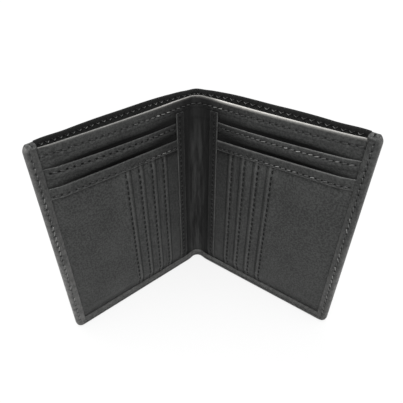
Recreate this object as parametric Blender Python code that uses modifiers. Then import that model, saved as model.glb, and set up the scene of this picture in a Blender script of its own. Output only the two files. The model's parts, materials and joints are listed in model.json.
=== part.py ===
"""A tall two-fold leather wallet, standing open on its lower edge.

Two halves hang on a soft spine. In each half the outer leather is turned round
the side and the lower edge over a stack of pockets, and bows away at the top
where the note compartment opens. All lengths are in metres, +Z is up, and the
halves open towards -Y.

A half is built flat in its own frame, which an empty on the fold line carries:
X runs from the fold line to the outer edge, Y towards the inside of the
wallet, and Z up. The right half is the left one mirrored.
"""

import bmesh
import bpy
from math import cos, pi, radians, sin, sqrt, tan
from mathutils import Vector

# Outside of the wallet
shell_height = 0.126
half_length = 0.0972
open_angle = radians(100)

# Thickness of the materials, and the room between two layers
shell_leather = 0.0008
hem_leather = 0.0004
panel_leather = 0.0006
pocket_leather = 0.0004
lining_cloth = 0.0002
layer_gap = 0.0003
closed_gap = 0.0009

# Turned border of the outer leather
border_width = 0.0064
border_fold_radius = 0.0014
lower_corner_radius = 0.004
upper_corner_radius = 0.0028
shell_hem_depth = 0.007
hem_overlap = 0.0002

# Note compartment: how far the outer leather bows, and from which height
bow_depth = 0.007
bow_start = 0.03
bow_rise_power = 1.5
bow_across_power = 0.75

# Inner panel and the two card pockets that lie across it
panel_step = 0.0015
panel_hem_depth = 0.0068
first_mouth_drop = 0.012
second_mouth_drop = 0.0214
pocket_hem_depth = 0.0055
first_pocket_depth = 0.0565
pocket_overlap = 0.0008

# Upright card pockets, their top band and the strip along the spine
band_height = 0.0057
strip_start = 0.0052
strip_width = 0.0053
strip_drop = 0.0065
leaf_start = 0.0192
leaf_pitch = 0.009
leaf_fold_width = 0.0042
leaf_overlap = 0.005
leaf_slope_start = 0.0056
leaf_slope_end = 0.008
leaf_names = ("inner", "second", "third", "front")

# Spine
spine_slope = radians(50)
spine_apex_radius = 0.004
gusset_apex_radius = 0.003
tongue_half_width = 0.0026
tongue_fold_radius = 0.0012
border_start_slope = 0.5

# Fineness of the round forms
wall_columns = 12
wall_rows = 11
arc_steps = 4
corner_steps = 5
spine_steps = 6
cut_overrun = 0.002

# Layers of a half, counted from the middle of the outer leather inwards
half_shell = shell_leather / 2
lining_level = half_shell + layer_gap
panel_hem_level = lining_level + lining_cloth + layer_gap
panel_level = panel_hem_level + hem_leather
panel_face = panel_level + panel_leather
first_pocket_level = panel_face + layer_gap
second_pocket_level = first_pocket_level + pocket_leather + layer_gap
leaf_level = second_pocket_level + pocket_leather + layer_gap
border_level = leaf_level + pocket_leather + layer_gap
border_face = border_level + shell_leather
border_middle = border_level + half_shell

# Heights and lengths that follow from them
panel_height = shell_height - panel_step
first_mouth = panel_height - first_mouth_drop
second_mouth = panel_height - second_mouth_drop
band_foot = second_mouth - band_height
stack_foot = shell_leather + layer_gap
stack_end = half_length - stack_foot
border_edge = half_length - border_width
pocket_start = strip_start + pocket_overlap

# Fold lines: far enough apart for the closed stack, and free of each other
fold_offset = border_face + closed_gap / 2
half_tilt = (pi - open_angle) / 2
wall_start = half_shell + layer_gap
panel_start = sqrt((panel_face + layer_gap) ** 2 - panel_hem_level**2)


def clear_scene():
    for old in list(bpy.data.objects):
        bpy.data.objects.remove(old, do_unlink=True)


def new_collection(name, hidden=False):
    made = bpy.data.collections.new(name)
    made.hide_render = hidden
    bpy.context.scene.collection.children.link(made)
    return made


def new_material(name, colour, roughness):
    made = bpy.data.materials.new(name)
    made.use_nodes = True
    shader = made.node_tree.nodes["Principled BSDF"]
    shader.inputs["Base Color"].default_value = (*colour, 1)
    shader.inputs["Roughness"].default_value = roughness
    made.diffuse_color = (*colour, 1)
    return made


def new_object(name, mesh, parent, colour, roughness):
    made = bpy.data.objects.new(name, mesh)
    made.parent = parent
    mesh.materials.append(new_material(name, colour, roughness))
    parts.objects.link(made)
    return made


def new_axis(name, parent, place, turn=0, mirrored=False):
    """An empty that carries a body. It is no piece of the wallet."""
    made = bpy.data.objects.new(name, None)
    made.parent = parent
    made.location = place
    made.rotation_euler.z = turn
    made.scale.y = -1 if mirrored else 1
    parts.objects.link(made)
    return made


def mesh_of(name, bm):
    bmesh.ops.remove_doubles(bm, verts=bm.verts, dist=hem_overlap / 100)
    bmesh.ops.recalc_face_normals(bm, faces=bm.faces)
    mesh = bpy.data.meshes.new(name)
    bm.to_mesh(mesh)
    bm.free()
    return mesh


def add_grid(bm, rows):
    """Faces between rows of points that all have the same count."""
    verts = [[bm.verts.new(point) for point in row] for row in rows]
    for lower, upper in zip(verts, verts[1:]):
        for i in range(len(lower) - 1):
            bm.faces.new((lower[i], lower[i + 1], upper[i + 1], upper[i]))


def grid_mesh(name, rows):
    bm = bmesh.new()
    add_grid(bm, rows)
    return mesh_of(name, bm)


def thicken(piece, thickness):
    solidify = piece.modifiers.new("leather", "SOLIDIFY")
    solidify.thickness = thickness
    solidify.offset = 0
    solidify.use_even_offset = True
    piece.data.shade_smooth()
    piece.data.set_sharp_from_angle(angle=radians(40))


def arc(centre, radius, start, end, steps=arc_steps):
    """Points of a round stretch in a plane, from one angle to another."""
    angles = [start + (end - start) * i / steps for i in range(steps + 1)]
    return [(centre[0] + radius * cos(a), centre[1] + radius * sin(a)) for a in angles]


def prism(name, outline, start, end, order):
    """A flat outline drawn out from start to end. The order says which axes of
    the half the outline's two directions and the draw follow."""
    curve = bpy.data.curves.new(name, "CURVE")
    curve.dimensions = "2D"
    curve.fill_mode = "BOTH"
    curve.extrude = (end - start) / 2
    spline = curve.splines.new("POLY")
    spline.points.add(len(outline) - 1)
    for point, place in zip(spline.points, outline):
        point.co = (*place, 0, 1)
    spline.use_cyclic_u = True
    drawn = bpy.data.objects.new(name, curve)
    parts.objects.link(drawn)
    graph = bpy.context.evaluated_depsgraph_get()
    mesh = bpy.data.meshes.new_from_object(drawn.evaluated_get(graph))
    bpy.data.objects.remove(drawn)
    bm = bmesh.new()
    bm.from_mesh(mesh)
    middle = Vector((0, 0, (start + end) / 2))
    for vert in bm.verts:
        moved = vert.co + middle
        vert.co = [moved[order.index(axis)] for axis in "xyz"]
    bpy.data.meshes.remove(mesh)
    return mesh_of(name, bm)


def bow(along, up):
    """How far the outer leather bows away from the stack at a place."""
    across = min(max((along - wall_start) / (border_edge - wall_start), 0), 1)
    rise = max((up - bow_start) / (shell_height - bow_start), 0)
    return bow_depth * sin(pi * across) ** bow_across_power * rise**bow_rise_power


def steps_between(start, end, count):
    return [start + (end - start) * i / count for i in range(count + 1)]


def border_profile():
    """Inset from the edge and level of the turned border, from the back to the front."""
    radius = border_fold_radius
    back = arc((radius, radius), radius, -pi / 2, -pi)
    front = arc((radius, border_middle - radius), radius, pi, pi / 2)
    inset = border_width - half_shell
    return [(inset, 0), *back, *front, (inset, border_middle)]


def border_stations():
    """Places along the turned border: down the side, round the corner, along the foot.
    Each is a function from inset and level to a point of the half."""
    edge = half_length - half_shell
    foot = half_shell
    inset_limit = border_width - half_shell
    crown = shell_height - upper_corner_radius

    def side(height):
        over = max(height - crown, 0)
        rounding = upper_corner_radius - sqrt(max(upper_corner_radius**2 - over**2, 0))

        def place(inset, level):
            share = level / border_middle
            scale = (shell_height - panel_step * share - border_width) / (
                shell_height - border_width
            )
            up = border_width + (height - border_width) * scale
            pulled = rounding * (1 - inset / inset_limit)
            return edge - inset - pulled, level, up

        return place

    def corner(angle):
        def place(inset, level):
            left = max(lower_corner_radius - inset, 0)
            reach = max(lower_corner_radius, inset)
            along = edge - reach + left * cos(angle)
            return along, level, foot + reach - left * sin(angle)

        return place

    def bottom(along):
        def place(inset, level):
            free = wall_start + border_start_slope * level
            return max(along, free), level, foot + inset

        return place

    return (
        [side(height) for height in reversed(wall_heights())]
        + [corner(angle) for angle in steps_between(0, pi / 2, corner_steps)]
        + [bottom(along) for along in reversed(wall_alongs())]
    )


def wall_alongs():
    """Columns of the bowed wall, closer together towards both of its ends."""
    shares = [(1 - cos(pi * i / wall_columns)) / 2 for i in range(wall_columns + 1)]
    return [wall_start + (border_edge - wall_start) * share for share in shares]


def wall_heights():
    crown = shell_height - upper_corner_radius
    lower = steps_between(border_width, crown, wall_rows)
    angles = steps_between(0, pi / 2, arc_steps)[1:]
    return lower + [crown + upper_corner_radius * sin(a) for a in angles]


def shell_half_mesh(name):
    """Middle surface of a half's outer leather."""
    bm = bmesh.new()
    rows = [[(a, -bow(a, h), h) for a in wall_alongs()] for h in wall_heights()]
    add_grid(bm, rows)
    profile = border_profile()
    add_grid(bm, [[place(*step) for step in profile] for place in border_stations()])
    return mesh_of(name, bm)


def shell_hem_mesh(name):
    """Middle surface of the leather that is turned in along the top of a half."""
    top = shell_height - hem_leather
    level = half_shell + hem_leather / 2 - hem_overlap / 2
    alongs = [a for a in wall_alongs() if a < border_edge][1:]
    heights = steps_between(shell_height - shell_hem_depth, top, 3)
    return grid_mesh(name, [[(a, level - bow(a, h), h) for a in alongs] for h in heights])


def add_shell_half(side, axis, colour):
    """Wall, turned border and top hem: one sheet of leather, turned three times."""
    shell = new_object(f"{side}_shell", shell_half_mesh("shell"), axis, colour, 0.5)
    thicken(shell, shell_leather)
    join_hem(shell, shell_hem_mesh("hem"), axis)


def join_hem(shell, mesh, axis):
    hem = bpy.data.objects.new(f"{shell.name}_hem", mesh)
    hem.parent = axis
    hem.hide_render = True
    hem.display_type = "WIRE"
    cutters.objects.link(hem)
    thicken(hem, hem_leather + hem_overlap)
    join = shell.modifiers.new("turned hem", "BOOLEAN")
    join.operation = "UNION"
    join.object = hem


def add_bill_lining(side, axis, colour):
    """Thin cloth on the inside of the bowed wall."""
    level = lining_level + lining_cloth / 2
    edge = border_edge - layer_gap
    foot = border_width + layer_gap
    top = shell_height - shell_hem_depth - layer_gap
    alongs = [wall_start + layer_gap, *wall_alongs()[2:-1], edge]
    heights = [foot, *[h for h in wall_heights() if foot < h < top - layer_gap], top]
    rows = [[(a, level - bow(a, h), h) for a in alongs] for h in heights]
    lining = new_object(f"{side}_bill_lining", grid_mesh("lining", rows), axis, colour, 0.8)
    thicken(lining, lining_cloth)


def round_corner(piece, axis, radius, level_edge, side):
    """Rounds one of the piece's outer corners to fit inside the turned border.
    The side is 1 at the lower corner and -1 at the upper one."""
    centre = (level_edge + side * radius, stack_end - radius)
    round_side = arc(centre, radius, pi / 2, pi / 2 + side * pi / 2, corner_steps)
    outside = stack_end + cut_overrun
    beyond = level_edge - side * cut_overrun
    outline = [*round_side, (beyond, centre[1]), (beyond, outside), (centre[0], outside)]
    start = panel_hem_level - cut_overrun
    mesh = prism("corner", outline, start, border_face + cut_overrun, "zxy")
    cutter = bpy.data.objects.new(f"{piece.name}_corner", mesh)
    cutter.parent = axis
    cutter.hide_render = True
    cutter.display_type = "WIRE"
    cutters.objects.link(cutter)
    cut = piece.modifiers.new("corner", "BOOLEAN")
    cut.operation = "DIFFERENCE"
    cut.object = cutter


def round_lower_corner(piece, axis):
    radius = lower_corner_radius + half_shell - stack_foot
    round_corner(piece, axis, radius, stack_foot, 1)


def add_inner_panel(side, axis, colour):
    """Full sheet behind the pockets, its top edge turned back and sewn."""
    radius = (panel_face - panel_hem_level) / 2
    centre = (panel_hem_level + radius, panel_height - radius)
    hem_foot = panel_height - panel_hem_depth
    outline = [
        (panel_level, stack_foot),
        (panel_face, stack_foot),
        *arc(centre, radius, 0, pi),
        (panel_hem_level, hem_foot),
        (panel_level, hem_foot - hem_leather),
    ]
    mesh = prism("panel", outline, panel_start, stack_end, "yzx")
    panel = new_object(f"{side}_inner_panel", mesh, axis, colour, 0.5)
    round_lower_corner(panel, axis)
    round_corner(panel, axis, upper_corner_radius, panel_height, -1)


def add_first_pocket(side, axis, colour):
    """The upper card pocket, with a folded mouth."""
    back = first_pocket_level
    body_face = back + pocket_leather
    fold_face = body_face + pocket_leather
    foot = first_mouth - first_pocket_depth
    hem_foot = first_mouth - pocket_hem_depth
    centre = (back + pocket_leather, first_mouth - pocket_leather)
    outline = [
        (back, foot),
        (body_face, foot),
        (body_face, hem_foot - pocket_leather),
        (fold_face, hem_foot),
        *arc(centre, pocket_leather, 0, pi),
    ]
    mesh = prism("pocket", outline, pocket_start, stack_end, "yzx")
    new_object(f"{side}_upper_card_pocket", mesh, axis, colour, 0.5)


def add_second_pocket(side, axis, colour):
    """The lower card pocket. Its sheet also backs the upright pockets."""
    back = second_pocket_level
    radius = pocket_leather / 2
    centre = (back + radius, second_mouth - radius)
    outline = [
        (back, stack_foot),
        (back + pocket_leather, stack_foot),
        *arc(centre, radius, 0, pi),
    ]
    mesh = prism("pocket", outline, pocket_start, stack_end, "yzx")
    pocket = new_object(f"{side}_lower_card_pocket", mesh, axis, colour, 0.5)
    round_lower_corner(pocket, axis)


def add_card_band(side, axis, colour):
    """Folded band along the lower pocket's mouth, over the upright pockets."""
    back = leaf_level
    radius = pocket_leather
    centre = (back + radius, second_mouth - radius)
    outline = [
        (back, band_foot),
        (back + pocket_leather, band_foot),
        (back + 2 * pocket_leather, band_foot + pocket_leather),
        *arc(centre, radius, 0, pi),
    ]
    start = strip_start + strip_width + layer_gap
    mesh = prism("band", outline, start, border_edge - layer_gap, "yzx")
    new_object(f"{side}_card_band", mesh, axis, colour, 0.5)


def leaf_outline(number):
    """Section of an upright pocket: a folded mouth towards the spine that rests on
    the leaf before it, then a slope down to the sheet that backs them all."""
    mouth = leaf_start + number * leaf_pitch
    last = number == len(leaf_names) - 1
    tail = stack_end if last else mouth + leaf_pitch + leaf_overlap
    lift = 0 if number == 0 else pocket_leather + layer_gap
    low = leaf_level
    high = leaf_level + lift
    radius = pocket_leather
    fold_end = mouth + leaf_fold_width
    return [
        (tail, low),
        (tail, low + pocket_leather),
        (mouth + leaf_slope_end, low + pocket_leather),
        (mouth + leaf_slope_start, high + pocket_leather),
        (fold_end + pocket_leather, high + pocket_leather),
        (fold_end, high + 2 * pocket_leather),
        *arc((mouth + radius, high + radius), radius, pi / 2, 3 * pi / 2),
        (mouth + leaf_slope_start, high),
        (mouth + leaf_slope_end, low),
    ]


def add_leaves(side, axis, colour):
    """Four upright card pockets, each stepped from the spine over the last."""
    foot = border_width + layer_gap
    top = band_foot - layer_gap
    for number, name in enumerate(leaf_names):
        mesh = prism("leaf", leaf_outline(number), foot, top, "xyz")
        new_object(f"{side}_{name}_upright_pocket", mesh, axis, colour, 0.5)


def add_spine_strip(side, axis, colour):
    """Narrow strip sewn over the ends of the pockets beside the spine."""
    face = leaf_level + 2 * pocket_leather
    end = strip_start + strip_width
    radius = pocket_leather
    outline = [
        *arc((strip_start + radius, face - radius), radius, pi / 2, pi),
        (strip_start, leaf_level),
        (end, leaf_level),
        *arc((end - radius, face - radius), radius, 0, pi / 2),
    ]
    foot = border_width + layer_gap
    mesh = prism("strip", outline, foot, panel_height - strip_drop, "xyz")
    new_object(f"{side}_spine_strip", mesh, axis, colour, 0.5)


def fold_path(end, slope, radius, level=0):
    """A line over the spine, from one side to the other: two straight runs at the
    slope that meet in a round apex. The level moves it inwards."""
    across = end[0] - level * sin(slope)
    depth = end[1] - level * cos(slope)
    bend = max(radius - level, layer_gap)
    apex = depth + across * tan(slope) - bend * (1 / cos(slope) - 1)
    right = arc((0, apex - bend), bend, pi / 2, pi / 2 - slope, spine_steps)
    return [(-across, depth), *[(-x, y) for x, y in reversed(right[1:])], *right, (across, depth)]


def path_sheet(name, path, heights):
    return grid_mesh(name, [[(x, y, height) for x, y in path] for height in heights])


def tongue_path(back):
    """Where the leather that is turned up at the spine's foot runs, in front of the gusset."""
    clearance = panel_leather / 2 + layer_gap + half_shell
    apex = max(y for _, y in gusset_path()) - clearance
    widest = max(x for x, _ in back)
    shares = [x / widest for x, _ in back]
    return [
        (tongue_half_width * share, apex - tongue_half_width * tan(half_tilt) * abs(share))
        for share in shares
    ]


def turned_rows(depth):
    """Height of each row of the spine's leather, with its share of the way to the
    front: down the wall, round the foot and up the tongue."""
    radius = tongue_fold_radius
    share = radius / depth
    turns = steps_between(0, pi / 2, arc_steps)
    lower = [(1 - cos(turn), half_shell + radius * (1 - sin(turn))) for turn in turns]
    behind = [(share * part, height) for part, height in lower]
    ahead = [(1 - share * part, height) for part, height in reversed(lower)]
    return [(0, shell_height), *behind, *ahead, (1, border_width)]


def spine_shell_mesh(name):
    """Middle surface of the outer leather over the spine."""
    back = fold_path((fold_offset, 0), spine_slope, spine_apex_radius)
    front = tongue_path(back)
    depth = max(y for _, y in back) - max(y for _, y in front)
    rows = []
    for share, height in turned_rows(depth):
        pairs = [(Vector(b), Vector(f)) for b, f in zip(back, front)]
        rows.append([(*b.lerp(f, share), height) for b, f in pairs])
    return grid_mesh(name, rows)


def gusset_path():
    level = panel_level + panel_leather / 2
    end = (fold_offset - level * sin(half_tilt), -level * cos(half_tilt))
    return fold_path(end, half_tilt, gusset_apex_radius)


def add_spine(root, leather, soft, cloth):
    shell = new_object("spine_shell", spine_shell_mesh("spine_shell"), root, leather, 0.5)
    thicken(shell, shell_leather)
    hem_level = half_shell + hem_leather / 2 - hem_overlap / 2
    hem_path = fold_path((fold_offset, 0), spine_slope, spine_apex_radius, hem_level)
    heights = [shell_height - shell_hem_depth, shell_height - hem_leather]
    join_hem(shell, path_sheet("hem", hem_path, heights), root)

    level = lining_level + lining_cloth / 2
    lining_path = fold_path((fold_offset, 0), spine_slope, spine_apex_radius, level)
    heights = [border_width, shell_height - shell_hem_depth - layer_gap]
    lining = new_object("spine_lining", path_sheet("lining", lining_path, heights), root, cloth, 0.8)
    thicken(lining, lining_cloth)

    heights = [stack_foot, panel_height]
    gusset = new_object("spine_gusset", path_sheet("gusset", gusset_path(), heights), root, soft, 0.6)
    thicken(gusset, panel_leather)


def add_half(side, axis, leather, cloth):
    add_shell_half(side, axis, leather)
    add_bill_lining(side, axis, cloth)
    add_inner_panel(side, axis, leather)
    add_first_pocket(side, axis, leather)
    add_second_pocket(side, axis, leather)
    add_card_band(side, axis, leather)
    add_leaves(side, axis, leather)
    add_spine_strip(side, axis, leather)


def depth_centre():
    """Middle of the wallet's depth, measured from the fold lines."""
    radius = border_fold_radius + half_shell
    along = half_length - radius
    inwards = border_face - radius
    nearest = -along * sin(half_tilt) - inwards * cos(half_tilt) - radius
    path = fold_path((fold_offset, 0), spine_slope, spine_apex_radius)
    farthest = max(y for _, y in path) + half_shell
    return (nearest + farthest) / 2


clear_scene()
parts = new_collection("leather_wallet")
cutters = new_collection("cutters", hidden=True)
black_leather = (0.032, 0.033, 0.032)
gusset_leather = (0.018, 0.018, 0.018)
black_cloth = (0.02, 0.02, 0.021)

wallet = new_axis("wallet", None, (0, -depth_centre(), 0))
add_spine(wallet, black_leather, gusset_leather, black_cloth)
left_axis = new_axis("left_fold_line", wallet, (-fold_offset, 0, 0), pi + half_tilt)
right_axis = new_axis("right_fold_line", wallet, (fold_offset, 0, 0), -half_tilt, mirrored=True)
add_half("left", left_axis, black_leather, black_cloth)
add_half("right", right_axis, black_leather, black_cloth)
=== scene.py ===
"""Looks of the tall two-fold wallet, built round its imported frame.

Every leather piece is a closed sheet with its turned edges, seams and stitches. A
half is drawn in its own directions: u from the fold line to the outer edge, n from
the middle of the outer leather inwards, and v up. All lengths are in metres.
"""

import json
import random
from math import ceil, cos, floor, pi, radians, sin

import bmesh
import bpy
import numpy as np
from mathutils import Matrix, Vector
from mathutils.kdtree import KDTree


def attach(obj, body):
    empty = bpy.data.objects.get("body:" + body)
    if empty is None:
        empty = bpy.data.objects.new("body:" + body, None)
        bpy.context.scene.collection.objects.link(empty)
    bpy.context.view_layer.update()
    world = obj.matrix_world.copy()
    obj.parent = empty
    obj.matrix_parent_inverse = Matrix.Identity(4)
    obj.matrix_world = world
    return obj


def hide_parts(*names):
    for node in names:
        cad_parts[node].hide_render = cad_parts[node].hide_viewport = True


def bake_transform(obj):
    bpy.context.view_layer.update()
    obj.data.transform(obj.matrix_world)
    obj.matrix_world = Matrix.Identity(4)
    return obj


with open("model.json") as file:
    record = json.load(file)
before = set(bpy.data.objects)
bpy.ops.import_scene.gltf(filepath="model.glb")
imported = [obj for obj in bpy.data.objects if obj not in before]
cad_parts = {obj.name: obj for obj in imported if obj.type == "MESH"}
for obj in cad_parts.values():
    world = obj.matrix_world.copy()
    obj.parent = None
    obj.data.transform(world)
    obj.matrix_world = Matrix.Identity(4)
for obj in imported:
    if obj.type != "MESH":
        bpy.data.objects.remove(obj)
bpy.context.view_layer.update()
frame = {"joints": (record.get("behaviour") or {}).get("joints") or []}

mm = 0.001
merge_distance = 0.001 * mm
sharp_angle = radians(50)
joints = {joint["name"]: joint for joint in frame["joints"]}
sides = {"left": -1, "right": 1}

# Camera, as fitted to the photograph
image_width = 403
focal_pixels = 382.2
shift_pixels = (-21.3, 16.5)
camera_place = (-7.4 * mm, -185.1 * mm, 203.1 * mm)
camera_yaw = radians(-1.19)
camera_pitch = radians(37.74)
camera_roll = radians(-2.21)
clip_start = 10 * mm

# The wallet's stance and outside
fold_offset = joints["right_fold"]["pos_m"][0]
fold_depth = joints["right_fold"]["pos_m"][1]
half_tilt = radians(40)
shell_height = 126 * mm
half_length = 97.2 * mm
border_width = 5.7 * mm
border_roll = 1.5 * mm
border_face = 4.2 * mm
lower_corner = 4 * mm
upper_corner = 3.6 * mm

# Levels of the layers, from the middle of the outer leather inwards
shell_leather = 0.8 * mm
lining_level = 0.8 * mm
lining_cloth = 0.18 * mm
panel_back = 1.2 * mm
panel_hem = 0.4 * mm
panel_leather = 0.6 * mm
thin_leather = 0.4 * mm
panel_middle = 1.9 * mm
first_pocket_back = 2.5 * mm
second_pocket_back = 3.2 * mm
leaf_back = 3.9 * mm
layer_gap = 0.3 * mm

# Heights and lengths of the pockets
stack_foot = 1.1 * mm
stack_end = half_length - stack_foot
border_edge = half_length - border_width
panel_height = 124.5 * mm
panel_hem_depth = 6.8 * mm
first_mouth = 112.5 * mm
first_rise = {"left": 1.8 * mm, "right": 1.8 * mm}
second_mouth = 102.4 * mm
second_rise = {"left": 0.8 * mm, "right": 2.8 * mm}
band_foot = 96.2 * mm
first_pocket_foot = 70 * mm
pocket_start = 6.7 * mm
lining_foot = 6.7 * mm
hem_depth = 5.5 * mm
strip_start = 5.9 * mm
strip_end = 11.2 * mm
strip_top = 118 * mm
leaf_start = 20.3 * mm
leaf_pitch = 8.7 * mm
leaf_names = ("inner", "second", "third", "front")
leaf_mouths = [leaf_start + number * leaf_pitch for number in range(len(leaf_names))]

# Outer leather: bow of the note compartment and bend over the spine
bow_depth = 6.2 * mm
bow_start = 30 * mm
bow_across_power = 0.6
bow_rise_power = 1.5
spine_slope = radians(50)
spine_apex_radius = 4 * mm
gusset_apex_radius = 6 * mm
path_softness = 2.4 * mm
spine_straight = (fold_offset - spine_apex_radius * sin(spine_slope)) / cos(spine_slope)
spine_length = spine_straight + spine_apex_radius * spine_slope
cover_hem_depth = 7 * mm
spine_rise = 1.2 * mm
spine_rise_ends = (45 * mm, 8 * mm)
apex_rise = 0.3 * mm
apex_spot = (2 * mm, 5 * mm)
corner_rise = 1.5 * mm
corner_rise_ends = (72 * mm, 94 * mm)
rise_foot = 60 * mm
line_step = 0.4 * mm
line_overrun = 8 * mm
uneven_depth = 0.35 * mm
uneven_wave = 42 * mm
uneven_heights = (5 * mm, 25 * mm)
uneven_spine_end = 25 * mm
uneven_outer_end = 80 * mm
wall_press_share = 0.7
fine_rows_foot = 115 * mm

# Slack: how far mouths gape, how unevenly layers lie and how far the border presses them
panel_gape = 1.1 * mm
panel_gape_heights = (111 * mm, 117 * mm)
first_gape = 1.9 * mm
first_gape_heights = (102 * mm, 107.5 * mm)
second_gape = 0.75 * mm
second_gape_foot = 86 * mm
gape_limit_share = 1.2
gape_power = 0.7
slope_power = 4
wave_size_shares = (0.7, 1.4)
lay_depth = 0.08 * mm
lay_wave = 34 * mm
lay_spine_end = 25 * mm
lay_outer_end = 70 * mm
press_level = 0.9 * mm
press_start = 84 * mm
press_top = 14 * mm
press_spine_ends = (-1 * mm, 5 * mm)
press_share = 0.38
corner_press_share = 0.2
corner_press_foot = 108 * mm
panel_sink = 1 * mm
panel_sink_ends = (90 * mm, 91.5 * mm)
panel_sink_foot = 115 * mm

# Stitches: pitches, seams, holes, and the painted highlights and painted shade beside them
stitch_pitch = 3.4 * mm
row_pitches = {
    "left": {"hem": 3.6 * mm, "panel": 3.7 * mm, "upper": 4 * mm, "band": 3.9 * mm},
    "right": {"hem": 4.2 * mm, "panel": 3.7 * mm, "upper": 3.3 * mm, "band": 3.3 * mm},
}
# How strongly painted shade darkens the needle holes
pocket_hole_shares = {"left": 1.2, "right": 0.6}
band_hole_share = 0.7
panel_hole_share = 0.6
upright_pitch = 3.65 * mm
thread_radius = 0.27 * mm
seam_depth = 0.4 * mm
seam_reach = 0.7 * mm
groove_share = 0.35
cover_seam = 123.2 * mm
panel_seam = 119.8 * mm
first_seam = 109.8 * mm
band_seam = 97.6 * mm
strip_seam = 9.2 * mm
leaf_seam_inset = 2.35 * mm
# Painted shadow beside each upright pocket's mouth
leaf_shadow_inset = 1.3 * mm
leaf_shadow_reach = 0.45 * mm
leaf_shadow_share = 0.42
hole_reach = 0.6 * mm
hole_width = 0.5 * mm
hole_length = 0.8 * mm
sunk_length = 1.05 * mm
lip_reach = 0.6 * mm
# Painted highlights on the pockets' folded mouths and on the inner leather's top fold
lip_highlights = {"left": 0.15, "right": 0.42}
panel_lips = {"left": 0.6 * mm, "right": 0.95 * mm}
spine_shades = {"left": 0.45, "right": 0.3}
border_seams = {"left": 1.9 * mm, "right": 2.6 * mm}
# Painted light on the border: the foot's flap, and the side's flap from top to foot
foot_highlight = 0.32
border_highlights = {"left": (0.25, 0.6), "right": (0, 0.35)}
tip_gleams = {"left": (5.5 * mm, 2.5 * mm), "right": (-1 * mm, 3.5 * mm)}

# Where the threads get a painted highlight: middle and reach along the row, and strength
no_gleam = (0, 1, 0)
gleams = {
    "left": {
        "panel_thread": (24 * mm, 14 * mm, 1),
        "upper_pocket_thread": (14 * mm, 14 * mm, 0.5),
        "band_thread": (20 * mm, 9 * mm, 1),
        "border_thread": (45 * mm, 60 * mm, 1),
        "hem_thread": (45 * mm, 100 * mm, 0.3),
    },
    "right": {
        "panel_thread": (15 * mm, 6 * mm, 0.9),
        "upper_pocket_thread": (60 * mm, 28 * mm, 1),
        "band_thread": (56 * mm, 24 * mm, 1),
        "border_thread": (45 * mm, 40 * mm, 1),
        "hem_thread": (45 * mm, 100 * mm, 0.3),
    },
}

# Mesh steps: coarse, fine beside a mark, and how far beside a mark they are fine
border_step = stitch_pitch / 8
flap_steps = (0.5 * mm, 0.28 * mm, 1.2 * mm)
hem_steps = (0.9 * mm, 0.3 * mm, 0.9 * mm)
sheet_steps = (3 * mm, 0.3 * mm, 1.1 * mm)
lower_pocket_steps = (2 * border_step, 0.3 * mm, 1.2 * mm)
leaf_steps = (2 * mm, 0.3 * mm, 1.2 * mm)
strip_steps = (0.8 * mm, 0.3 * mm, 1.2 * mm)
lining_steps = (3 * mm, 1.2 * mm)
leaf_back_step = 1 * mm
mark_spacing = 2 * mm

# How many points a round or a line has
corner_steps = 8
roll_points = 5
fold_points = 7
hem_points = 4
tip_points = 56
dome_points = 12
foot_front_points = 120
wave_count = 4

# Surround and floor
surround_strength = 0.26
floor_glow = 0.935
floor_shade = 0.05
contact_reach = 90 * mm
contact_shade = 0.13
floor_colour = 0.5
floor_reach = 12000 * mm
floor_fade_ends = (250 * mm, 1000 * mm)

# Lights: direction, distance, size and power
lights = {
    "key": ((0.02, -0.33, 0.93), 900 * mm, 350 * mm, 11.5),
    "rim": ((-0.75, 0.35, 0.55), 900 * mm, 300 * mm, 3),
    "back": ((0.1, 0.6, 0.8), 1000 * mm, 400 * mm, 4),
    "front_fill": ((0.1, -0.8, 0.6), 1200 * mm, 900 * mm, 1.5),
}


def smooth_step(low, high, value):
    share = np.clip((value - low) / (high - low), 0, 1)
    return share * share * (3 - 2 * share)


def ridge(value, middle, reach):
    return np.exp(-(((value - middle) / reach) ** 2))


def spread(start, end, step):
    """Evenly spaced values from start to end, about a step apart."""
    return np.linspace(start, end, max(int(round(abs(end - start) / step)), 1) + 1)


def refined(start, end, spots, coarse, fine, reach):
    """Values from start to end, closer together near the spots."""
    values = [start]
    while values[-1] < end:
        near = min(abs(values[-1] - spot) for spot in spots)
        values.append(values[-1] + (fine if near < reach else min(coarse, near - reach + fine)))
    values[-1] = end
    return np.array(values)


def waves(u, v, seed, length):
    """A soft, repeatable unevenness between about -1 and 1."""
    rng = random.Random(seed)
    total = 0
    for _ in range(wave_count):
        turn = rng.uniform(0, 2 * pi)
        size = rng.uniform(*wave_size_shares) * length
        total = total + np.sin((u * cos(turn) + v * sin(turn)) / size * 2 * pi + rng.uniform(0, 2 * pi))
    return total / wave_count


def half_place(side, u, n, v):
    """World points of places in a half."""
    x = fold_offset + u * cos(half_tilt) - n * sin(half_tilt)
    y = fold_depth - u * sin(half_tilt) - n * cos(half_tilt)
    return np.stack([sides[side] * x, y, v + 0 * u], -1)


def bend_start():
    """Place u where the straight of the inner leather meets its round over the spine."""
    across = (gusset_apex_radius + panel_middle) * sin(half_tilt) - fold_offset
    return across / cos(half_tilt)


def inner_centre():
    """The plane X = 0, as a place u on the inner leather."""
    return bend_start() - gusset_apex_radius * half_tilt


def inner_place(side, u, n, v):
    """World points of the inner leather, which bends over the spine."""
    bend = bend_start()
    share = np.clip((u - inner_centre()) / (bend - inner_centre()), 0, 1)
    angle = pi / 2 - half_tilt * share
    meets = half_place("right", np.array(bend), np.array(panel_middle), np.array(0.0))
    round_depth = meets[1] - gusset_apex_radius * cos(half_tilt)
    radius = gusset_apex_radius - (n - panel_middle)
    straight = half_place("right", u, n, v)
    on_round = u < bend
    x = np.where(on_round, radius * np.cos(angle), straight[..., 0])
    y = np.where(on_round, round_depth + radius * np.sin(angle), straight[..., 1])
    return np.stack([sides[side] * x, y, v + 0 * u], -1)


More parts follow.
